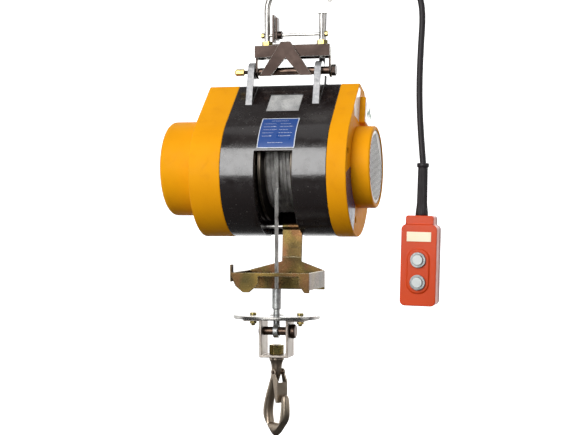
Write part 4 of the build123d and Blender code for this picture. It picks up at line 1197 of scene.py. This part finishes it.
@dataclass
class Pendant:
    """The hanging cord with its boot, and the two-button control box."""

    cord_radius: float = 5 * MM
    lean: float = radians(1.5)
    boot_low: float = -368 * MM
    ribs: int = 22
    route: tuple = (
        (34.0, 42.2, -142.0),
        (34.3, 49.9, -113.3),
        (36.2, 46.5, -89.0),
        (39.6, 34.5, -56.0),
        (43.5, 19.0, -24.0),
        (63.0, 17.0, 7.0),
        (94.0, 16.0, 25.0),
        (136.0, 16.0, 27.5),
        (172.0, 16.0, 15.0),
        (196.0, 16.0, -12.0),
        (204.2, 16.0, -47.0),
        (200.2, 16.0, -106.0),
        (197.9, 16.0, -167.0),
        (199.3, 16.0, -226.0),
        (204.0, 16.0, -285.3),
    )

    def line(self) -> list[Vector]:
        """The cord's smooth middle line, read from its spline.

        Returns:
            The points in order, in metres.
        """
        curve = bpy.data.curves.new("cord_line", "CURVE")
        curve.dimensions = "3D"
        spline = curve.splines.new("NURBS")
        spline.points.add(len(self.route) - 1)
        for point, place in zip(spline.points, self.route):
            point.co = (*(v * MM for v in place), 1.0)
        spline.order_u = 3
        spline.use_endpoint_u = True
        spline.resolution_u = 16
        holder = bpy.data.objects.new("cord_line", curve)
        bpy.context.scene.collection.objects.link(holder)
        mesh = bpy.data.meshes.new_from_object(holder)
        points = [v.co.copy() for v in mesh.vertices]
        bpy.data.objects.remove(holder)
        bpy.data.meshes.remove(mesh)
        return points

    def tube(self, name: str, points: Sequence[Vector], sizes: Sequence[float],
             sides: int = 24) -> bpy.types.Mesh:
        """A round tube along points.

        Args:
            name: the mesh's name.
            points: its middle line.
            sizes: its radius at each point.
            sides: sides of the round.

        Returns:
            The closed mesh.
        """
        rings = []
        across = Vector((0, 1, 0))
        for i, point in enumerate(points):
            ahead = points[min(i + 1, len(points) - 1)] - points[max(i - 1, 0)]
            ahead.normalize()
            across = (across - ahead * across.dot(ahead)).normalized()
            up = ahead.cross(across)
            ring = []
            for k in range(sides):
                turn = 2 * pi * k / sides
                ring.append(tuple(point + (across * cos(turn) + up * sin(turn)) * sizes[i]))
            rings.append(ring)
        return loft(name, rings)

    @property
    def place(self) -> Matrix:
        """The pendant's place: Z along it, from where the cord enters the boot."""
        end = Vector(self.route[-1]) * MM
        return Matrix.Translation(end) @ Matrix.Rotation(self.lean, 4, "Y")

    def build(self, finish: Finishes) -> None:
        """Makes the cord, the boot and the box.

        Args:
            finish: the finishes to dress the pieces in.
        """
        self.boot(finish)
        self.cord(finish)
        self.ties(finish)
        self.box(finish)

    def boot(self, finish: Finishes) -> None:
        """The ribbed rubber boot with its top ring and flared foot.

        Args:
            finish: the finishes to dress the pieces in.
        """
        long = self.route[-1][2] * MM - self.boot_low
        profile = [(5.2, 0.0), (8.6, 0.2), (9.4, 0.9), (9.5, 3.4), (9.4, 6.2), (8.9, 6.9), (7.7, 7.2)]
        profile += [(7.7 + 0.6 * t / 10, 7.2 + 5.6 * t) for t in range(1, 11)]
        profile += [(9.0, long / MM - 12), (9.8, long / MM - 6), (10.0, long / MM - 0.8), (9.6, long / MM)]
        rings = []
        sides = 6 * self.ribs
        for radius, drop in profile:
            ring = []
            ridge = 0.28 if 7.2 < drop < long / MM - 5 else 0.0
            for k in range(sides):
                turn = 2 * pi * k / sides
                reach = (radius + ridge * (cos(self.ribs * turn) - 1)) * MM
                ring.append(tuple(self.place @ Vector((reach * cos(turn), reach * sin(turn), -drop * MM))))
            rings.append(ring)
        skin = loft("cord_boot_ribbed", rings, sharp=50.0)
        self.boot_piece = linked("cord_boot_ribbed", skin, finish.rubber)
        stands_for(self.boot_piece, "cord_boot")

    def cord(self, finish: Finishes) -> None:
        """The free cord from the gland over the carrier arm to the boot.

        Args:
            finish: the finishes to dress the pieces in.
        """
        points = self.line()
        mesh = self.tube("pendant_cord_round", points, [self.cord_radius] * len(points))
        piece = linked("pendant_cord_round", mesh, finish.rubber)
        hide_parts("pendant_cord")
        # It bends on its rise from the gland to the arm, and the pendant's side stays with the hanger.
        on_arm, at_gland = Vector((50.9, 33.75, -142)) * MM, Vector((34, 42.2, -142)) * MM
        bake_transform(piece, "hanger", "hoist", start=on_arm, end=at_gland)

    def ties(self, finish: Finishes) -> None:
        """Black ties that hold the cord on its carrier arm.

        Args:
            finish: the finishes to dress the pieces in.
        """
        points = self.line()
        stamp = bpy.data.meshes.new("tie")
        work = bmesh.new()
        inner, outer, half, tail, sides = 5.15, 6.35, 1.9, 3.8, 32
        rows = []
        for radius, height in ((inner, -half), (outer, -half), (outer, half), (inner, half)):
            row = []
            for k in range(sides):
                across, along = cos(2 * pi * k / sides), sin(2 * pi * k / sides)
                reach = 0 if across < 0 else tail * MM * across
                row.append(work.verts.new((radius * MM * across + reach, radius * MM * along, height * MM)))
            rows.append(row)
        for low, high in zip(rows, rows[1:] + rows[:1]):
            for k in range(sides):
                work.faces.new((low[k], low[(k + 1) % sides], high[(k + 1) % sides], high[k]))
        bmesh.ops.recalc_face_normals(work, faces=work.faces)
        work.to_mesh(stamp)
        work.free()
        places = []
        arm_low, arm_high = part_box("cord_arm")
        for share in (0.30, 0.62, 0.93):
            x = arm_low.x + 16 * MM + (arm_high.x - arm_low.x - 20 * MM) * share
            above = [i for i in range(1, len(points) - 1) if points[i].z > -40 * MM]
            near = min(above, key=lambda i: abs(points[i].x - x))
            ahead = (points[near + 1] - points[near - 1]).normalized()
            side = Vector((0, 1, 0))
            down = ahead.cross(side).normalized()
            if down.z > 0:
                down = -down
            turn = Matrix((down, ahead.cross(down), ahead)).transposed().to_4x4()
            places.append(Matrix.Translation(points[near]) @ turn)
        added(stamped("cord_ties", shade(stamp), places, finish.black_plastic), "hanger")

    def box(self, finish: Finishes) -> None:
        """The control box: shells with rounded edges, label, rings and white caps.

        Args:
            finish: the finishes to dress the pieces in.
        """
        softened("handset_front", 1.6 * MM, finish.orange, segments=3)
        # The rear shell takes a darker copy of the orange as painted shade.
        softened("handset_rear", 1.6 * MM, finish.red, segments=3)
        softened("handset_label", 0.25 * MM, finish.cream)
        softened("button_bezels", 0.5 * MM, finish.bezel)
        softened("up_button", 0.9 * MM, finish.cap, segments=3)
        softened("down_button", 0.9 * MM, finish.cap, segments=3)
        softened("handset_screws", 0.25 * MM, finish.zinc)
        dress(finish.black_plastic, "contact_block")


@dataclass
class Hanger:
    """U-bolt hanger: channel, gusset, long bolt, cross rod, locking lever and carrier arm."""

    def build(self, finish: Finishes) -> None:
        """Makes the hanger's pieces.

        Args:
            finish: the finishes to dress the pieces in.
        """
        # Faces pointing up or along X get the bright zinc as painted light; the other faces get the dark
        # steel as painted shade.
        softened("hanger_bracket", 0.5 * MM, finish.dark_steel_and_shade, finish.zinc,
                 pick=lambda c, n: int(n.z > 0.9 or abs(n.x) > 0.9))
        # The gusset's dark steel is painted shade.
        softened("front_gusset", 0.4 * MM, finish.dark_steel_and_shade)
        # Faces pointing along -X get the bright zinc as painted light; the rest get the dark steel as painted
        # shade.
        softened("locking_lever", 0.6 * MM, finish.dark_steel_and_shade, finish.zinc, pick=lambda c, n: int(n.x < -0.9))
        softened("cord_arm", 0.5 * MM, finish.zinc)
        softened("hanger_nuts", 0.5 * MM, finish.brass)
        softened("long_bolt", 0.5 * MM, finish.dark_steel_and_shade)
        softened("spacer_tubes", 0.3 * MM, finish.pin)
        dress(finish.zinc, "u_bolt", "cross_rod")


@dataclass
class Housing:
    """Black centre frame, yellow housings and caps, plates and stickers."""

    bars: int = 11
    lug_foot: float = 90 * MM
    lug_reach: float = 54.5 * MM
    lug_shift: float = 3.5 * MM
    lug_half: float = 6 * MM

    def build(self, finish: Finishes) -> None:
        """Makes the housing's pieces.

        Args:
            finish: the finishes to dress the pieces in.
        """
        inverse = SHELL.place.inverted()

        def bare(centre: Vector, normal: Vector) -> int:
            """1 on the ground front faces of the two lugs.

            Args:
                centre: the middle of a face.
                normal: the face's outward direction.

            Returns:
                The face's material index.
            """
            local = inverse.to_3x3() @ normal
            height = (inverse @ centre).z
            beside_middle = abs((inverse @ centre).x + self.lug_shift)
            faces_front = local.y < -0.75 and abs(local.x) < 0.3
            on_lug = height > self.lug_foot and abs(beside_middle - self.lug_reach) < self.lug_half
            return int(faces_front and on_lug)

        softened("main_frame", 0.7 * MM, finish.black, finish.cast, pick=bare)
        softened("left_housing", 1.6 * MM, finish.yellow, segments=3)
        softened("right_housing", 1.6 * MM, finish.yellow, segments=3)
        softened("left_cap", 0.8 * MM, finish.yellow, segments=2)
        softened("right_cap", 0.8 * MM, finish.yellow, segments=2)
        # Faces along X take the pale grille paint; the slats' sides take black as painted shade between the
        # slats.
        softened("vent_grille", 0.0, finish.grille, finish.black_plastic,
                 pick=lambda c, n: int(abs(n.x) < 0.7))
        softened("cord_gland", 0.5 * MM, finish.black_plastic)
        softened("housing_screws", 0.4 * MM, finish.dark_steel_and_shade)
        self.nameplate(finish)
        # The window plate's pale grey is a painted reflection.
        dress(finish.window, "window_plate")
        self.stickers(finish)
        self.terminal_label(finish)

    def nameplate(self, finish: Finishes) -> None:
        """Blue data plate on the shell's curve: a light border and generic bars of print.

        Args:
            finish: the finishes to dress the pieces in.
        """
        low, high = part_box("nameplate")
        left, right = low.x - ROPE_X, high.x - ROPE_X
        bottom, top, cell = 11 * MM, 67 * MM, 0.55 * MM
        columns = int((right - left) / cell)
        rows = int((top - bottom) / cell * 1.12)
        work = bmesh.new()
        rng = np.random.default_rng(11)
        lines = self.print_rows(rows, columns, rng)
        grids = []
        for proud in (1.0 * MM, 0.15 * MM):
            grid = []
            for r in range(rows + 1):
                y, z = SHELL.front(bottom + (top - bottom) * r / rows, proud)
                grid.append([work.verts.new(housing_point(left + (right - left) * c / columns, y, z))
                             for c in range(columns + 1)])
            grids.append(grid)
        outer, inner = grids
        for r in range(rows):
            for c in range(columns):
                face = work.faces.new((outer[r][c], outer[r][c + 1], outer[r + 1][c + 1], outer[r + 1][c]))
                face.material_index = lines[r][c]
                work.faces.new((inner[r][c], inner[r + 1][c], inner[r + 1][c + 1], inner[r][c + 1]))
        rim = [(0, c) for c in range(columns)] + [(r, columns) for r in range(rows)]
        rim += [(rows, c) for c in range(columns, 0, -1)] + [(r, 0) for r in range(rows, 0, -1)]
        for (r0, c0), (r1, c1) in zip(rim, rim[1:] + rim[:1]):
            face = work.faces.new((outer[r1][c1], outer[r0][c0], inner[r0][c0], inner[r1][c1]))
            face.material_index = 1
        bmesh.ops.recalc_face_normals(work, faces=work.faces)
        mesh = bpy.data.meshes.new("data_plate")
        work.to_mesh(mesh)
        work.free()
        stands_for(linked("data_plate", shade(mesh), finish.blue, finish.print), "nameplate")

    def print_rows(self, rows: int, columns: int, rng: np.random.Generator) -> list[list[int]]:
        """Which cells of the plate are printed: a border and short bars in lines.

        Args:
            rows: cells up the plate.
            columns: cells across it.
            rng: the random source for the bars' lengths.

        Returns:
            1 for a light cell and 0 for a blue one, row by row.
        """
        cells = [[0] * columns for _ in range(rows)]
        for r in range(rows):
            for c in range(columns):
                if r < 2 or r >= rows - 2 or c < 2 or c >= columns - 2:
                    cells[r][c] = 1
        for n in range(8):
            r = int(rows * (0.90 - 0.105 * n))
            spans = [(0.10, 0.48), (0.54, 0.92)] if 0 < n < 6 else [(0.28, 0.74)]
            if n == 6:
                continue
            for start, end in spans:
                c = int(columns * start)
                stop = int(columns * (end - rng.uniform(0.0, 0.14)))
                while c < stop:
                    run = int(rng.integers(2, 7))
                    for k in range(c, min(c + run, stop)):
                        cells[r][k] = 1
                        if n in (2, 5) and c > stop - 12:
                            cells[r + 1][k] = 1
                    c += run + int(rng.integers(1, 3))
        return cells

    def stickers(self, finish: Finishes) -> None:
        """A mottled blue crescent and a plain white patch on the right end's face.

        Args:
            finish: the finishes to dress the pieces in.
        """
        x0 = 114.02 * MM
        rim, skin = 65.5 * MM, 0.25 * MM
        points = []
        steps = 30
        for i in range(steps + 1):
            turn = radians(196 + 66 * i / steps)
            points.append((97.5 * MM * cos(turn), 97.5 * MM * sin(turn)))
        for i in range(steps + 1):
            turn = radians(262 - 66 * i / steps)
            points.append((rim * cos(turn), SHELL.drum_rise + rim * sin(turn)))
        corners = [housing_point(x0, y, z) for y, z in points]
        mesh = outline_solid("blue_crescent", corners, Vector((skin, 0, 0)))
        added(linked("blue_crescent", mesh, finish.crescent), "hoist")
        patch = [(-58, 92), (-44, 112), (-27, 134), (-16, 134), (-16, 80), (-34, 80), (-52, 78)]
        corners = [housing_point(x0, y * MM, z * MM) for y, z in patch]
        mesh = outline_solid("white_patch", corners, Vector((skin, 0, 0)))
        added(linked("white_patch", mesh, finish.paper), "hoist")

    def terminal_label(self, finish: Finishes) -> None:
        """The terminal cover's white sheet with a few green strokes.

        Args:
            finish: the finishes to dress the pieces in.
        """
        softened("terminal_cover", 0.3 * MM, finish.paper)
        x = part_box("terminal_cover")[1].x + 0.03 * MM - ROPE_X
        bars = []
        rng = np.random.default_rng(5)
        for i in range(self.bars):
            y = -9 + 3.7 * i
            z = 92 + 14 * rng.random()
            tall = 5 + 9 * rng.random()
            corners = [(y, z), (y + 2.2, z + 1.5), (y + 1.6, z + tall), (y - 0.8, z + tall - 2)]
            places = [housing_point(x, a * MM, b * MM) for a, b in corners]
            bars.append(outline_solid("bar", places, Vector((0.15 * MM, 0, 0))))
        marks = linked("terminal_marks", merged("terminal_marks", bars), finish.green)
        added(marks, "hoist")


@dataclass
class RopeWork:
    """The rope on the drum, the hanging run and its sleeve."""

    rope_radius: float = 3 * MM
    lay: float = 40 * MM
    outer: float = 68.4 * MM
    half: float = 21 * MM

    def build(self, finish: Finishes) -> None:
        """Makes the rope's pieces.

        Args:
            finish: the finishes to dress the pieces in.
        """
        low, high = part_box("rope_run")
        x, y = (low.x + high.x) / 2, (low.y + high.y) / 2
        count = 40
        path = [(x, y, high.z + (low.z - high.z) * i / count) for i in range(count + 1)]
        run = stranded("rope_run_strands", path, self.rope_radius, self.lay, 2 * MM, finish.rope, sides=10)
        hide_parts("rope_run")
        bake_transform(run, "hoist", "rope_end", start=(x, y, high.z), end=(x, y, low.z))
        self.winding(finish)
        softened("rope_ferrule", 0.9 * MM, finish.galvanised)

    def winding(self, finish: Finishes) -> None:
        """Two layers of turns on the drum over a plain filler.

        Args:
            finish: the finishes to dress the pieces in.
        """
        centre = middle("rope_winding")
        turn = Matrix.Rotation(SHELL.lean, 3, "X")

        def at(x: float, radius: float, angle: float) -> tuple:
            """A point of the winding about the drum's axis."""
            return tuple(centre + turn @ Vector((x, radius * cos(angle), radius * sin(angle))))

        under = self.outer - 5.3 * MM
        path = []
        rng = np.random.default_rng(3)
        wobble = rng.uniform(-0.5, 0.5, 24) * MM
        pitch = 2 * self.rope_radius
        turns = 7
        for i in range(turns * 120 + 1):
            along = i / 120
            shift = np.interp(along, range(24), wobble)
            path.append(at(-self.half + pitch * along + shift * 0.6, under, -2 * pi * along))
        # The lower turns lie under the top layer; their darker finish is painted shade.
        lower = stranded("lower_turns", path, self.rope_radius, self.lay, 3.2 * MM, finish.rope_in_painted_shade, sides=6)
        path = []
        turns = 6
        for i in range(turns * 120 + 1):
            along = i / 120
            shift = np.interp(along + 8, range(24), wobble)
            x = self.half - (pitch + 0.35 * MM) * along + shift
            path.append(at(x, self.outer, -2 * pi * along + pi / 2))
        upper = stranded("upper_turns", path, self.rope_radius, self.lay, 3.2 * MM, finish.rope, sides=6)
        stands_for(upper, "rope_winding")
        added(lower, "drum")
        half = 23.7 * MM
        place = Matrix.Translation(centre) @ Matrix.Rotation(pi / 2, 4, "Y")
        bore, skin = 45 * MM, 60.2 * MM
        profile = [(bore, -half), (skin, -half), (skin, half), (bore, half)]
        core = turned_solid("winding_core", profile, place, 96)
        # The filler takes the darker rope finish as painted shade under the turns.
        added(linked("winding_core", core, finish.rope_in_painted_shade), "drum")


@dataclass
class HookBlock:
    """Stop plate, yoke, pin, hook, nut and latch."""

    turn: float = radians(-40.0)
    thick: float = 7.5 * MM

    def build(self, finish: Finishes) -> None:
        """Makes the hook block's pieces.

        Args:
            finish: the finishes to dress the pieces in.
        """
        softened("stop_plate", 0.9 * MM, finish.plate, segments=3)
        softened("hook_yoke", 0.8 * MM, finish.strap, segments=3)
        softened("yoke_bolts", 0.7 * MM, finish.brass, segments=3)
        softened("block_pin", 2.2 * MM, finish.pin, segments=4, angle=50)
        softened("shank_nut", 0.8 * MM, finish.brass)
        softened("hook_latch", 0.4 * MM, finish.forged)
        softened("latch_pin", 0.8 * MM, finish.pin, segments=3)
        self.hook(finish)

    def hook(self, finish: Finishes) -> None:
        """The forged hook: rounded sections along its bow.

        Args:
            finish: the finishes to dress the pieces in.
        """
        stations = self.stations()
        place = Matrix.Translation((ROPE_X, ROPE_Y, 0)) @ Matrix.Rotation(self.turn, 4, "Z")
        rings = []
        sides = 32
        for (x, z), (nx, nz), wide, thick in stations:
            ring = []
            for k in range(sides):
                a = 2 * pi * k / sides
                ca, sa = cos(a), sin(a)
                bulge = 1.0 / (abs(ca) ** 2.6 + abs(sa) ** 2.6) ** (1 / 2.6)
                u, v = wide * ca * bulge, thick * sa * bulge
                ring.append(tuple(place @ (Vector((x + nx * u, v, z + nz * u)) * MM)))
            rings.append(ring)
        piece = linked("forged_hook", loft("forged_hook", rings, sharp=60.0), finish.forged)
        smooth = piece.modifiers.new("smooth", "SUBSURF")
        smooth.levels = 1
        smooth.render_levels = 1
        stands_for(piece, "hook")

    def stations(self) -> list:
        """The hook's sections from the shank's top to the tip: place, side, half width, half thickness.

        Returns:
            The sections in order.
        """
        shank = [(0, -566.2, 0, 4.2, 4.2), (0, -567.6, 0, 6.0, 6.0), (0, -569, 0, 6.45, 6.45),
                 (0, -584, 0, 6.45, 6.45), (0, -585.9, 0, 6.45, 6.45), (0, -586.1, 0, 10.8, 10.8),
                 (0, -590.6, 0, 10.8, 10.8), (0, -591.6, 0, 9.4, 9.4), (0.2, -598, 0, 7.9, 7.5),
                 (0.2, -606, 0.05, 7.6, 7.2), (-1.5, -615, 0.22, 7.4, 7.2)]
        bow = [(-7.0, -625, 0.95, 0.26, 6.9, 7.2), (-12.5, -637, 0.97, 0.20, 6.8, 7.3),
               (-17.5, -650, 0.985, 0.16, 6.9, 7.4), (-21.8, -664, 0.998, 0.05, 7.2, 7.5),
               (-22.8, -677, 0.985, -0.17, 7.8, 7.5), (-18.5, -689, 0.84, -0.54, 8.9, 7.5),
               (-9.5, -697, 0.42, -0.91, 10.2, 7.5), (1.0, -698.5, -0.10, -0.995, 11.0, 7.5),
               (11.5, -694.5, -0.58, -0.81, 10.0, 7.4), (19.0, -685.5, -0.88, -0.47, 8.4, 7.3),
               (22.3, -674, -0.99, -0.12, 7.0, 7.1), (23.0, -662, -1.0, 0.03, 6.2, 6.7),
               (23.0, -651, -1.0, 0.05, 5.3, 6.2), (22.6, -645, -1.0, 0.08, 4.3, 5.2),
               (22.2, -642.3, -1.0, 0.1, 2.4, 3.2)]
        rows = [(x, z, 1, nz, wide, thick) for x, z, nz, wide, thick in shank] + bow
        return [((x, z), (nx, nz), wide, thick) for x, z, nx, nz, wide, thick in rows]


@dataclass
class LimitLever:
    """The stamped lever that the stop plate pushes."""

    def build(self, finish: Finishes) -> None:
        """Makes the lever.

        Args:
            finish: the finishes to dress the pieces in.
        """
        softened("limit_lever", 0.8 * MM, finish.passivate, segments=3)
        dress(finish.zinc, "lever_pin")
        dress(finish.black_plastic, "limit_switch")


@dataclass
class Drive:
    """The pieces inside: drum, gears, motor and brake."""

    def build(self, finish: Finishes) -> None:
        """Dresses the inner pieces.

        Args:
            finish: the finishes to dress the pieces in.
        """
        dress(finish.flange, "rope_drum")
        dress(finish.machined, "drum_gear", "lay_shaft", "lay_gear", "motor_shaft", "bearings", "brake_disc",
              "brake_armature", "rotor_core")
        dress(finish.alloy, "gear_plate", "motor_end_shield", "motor_shell")
        dress(finish.copper, "stator", "brake_coil")
        dress(finish.black_plastic, "cooling_fan", "run_capacitor")


def main() -> None:
    """Builds the studio and every sub-assembly in order."""
    logging.basicConfig(level=logging.INFO, format="%(message)s")
    Studio().build()
    finish = Finishes()
    for part in (Pendant(), Hanger(), Housing(), RopeWork(), HookBlock(), LimitLever(), Drive()):
        LOG.info("building %s", type(part).__name__)
        part.build(finish)


if __name__ == "__main__":
    main()
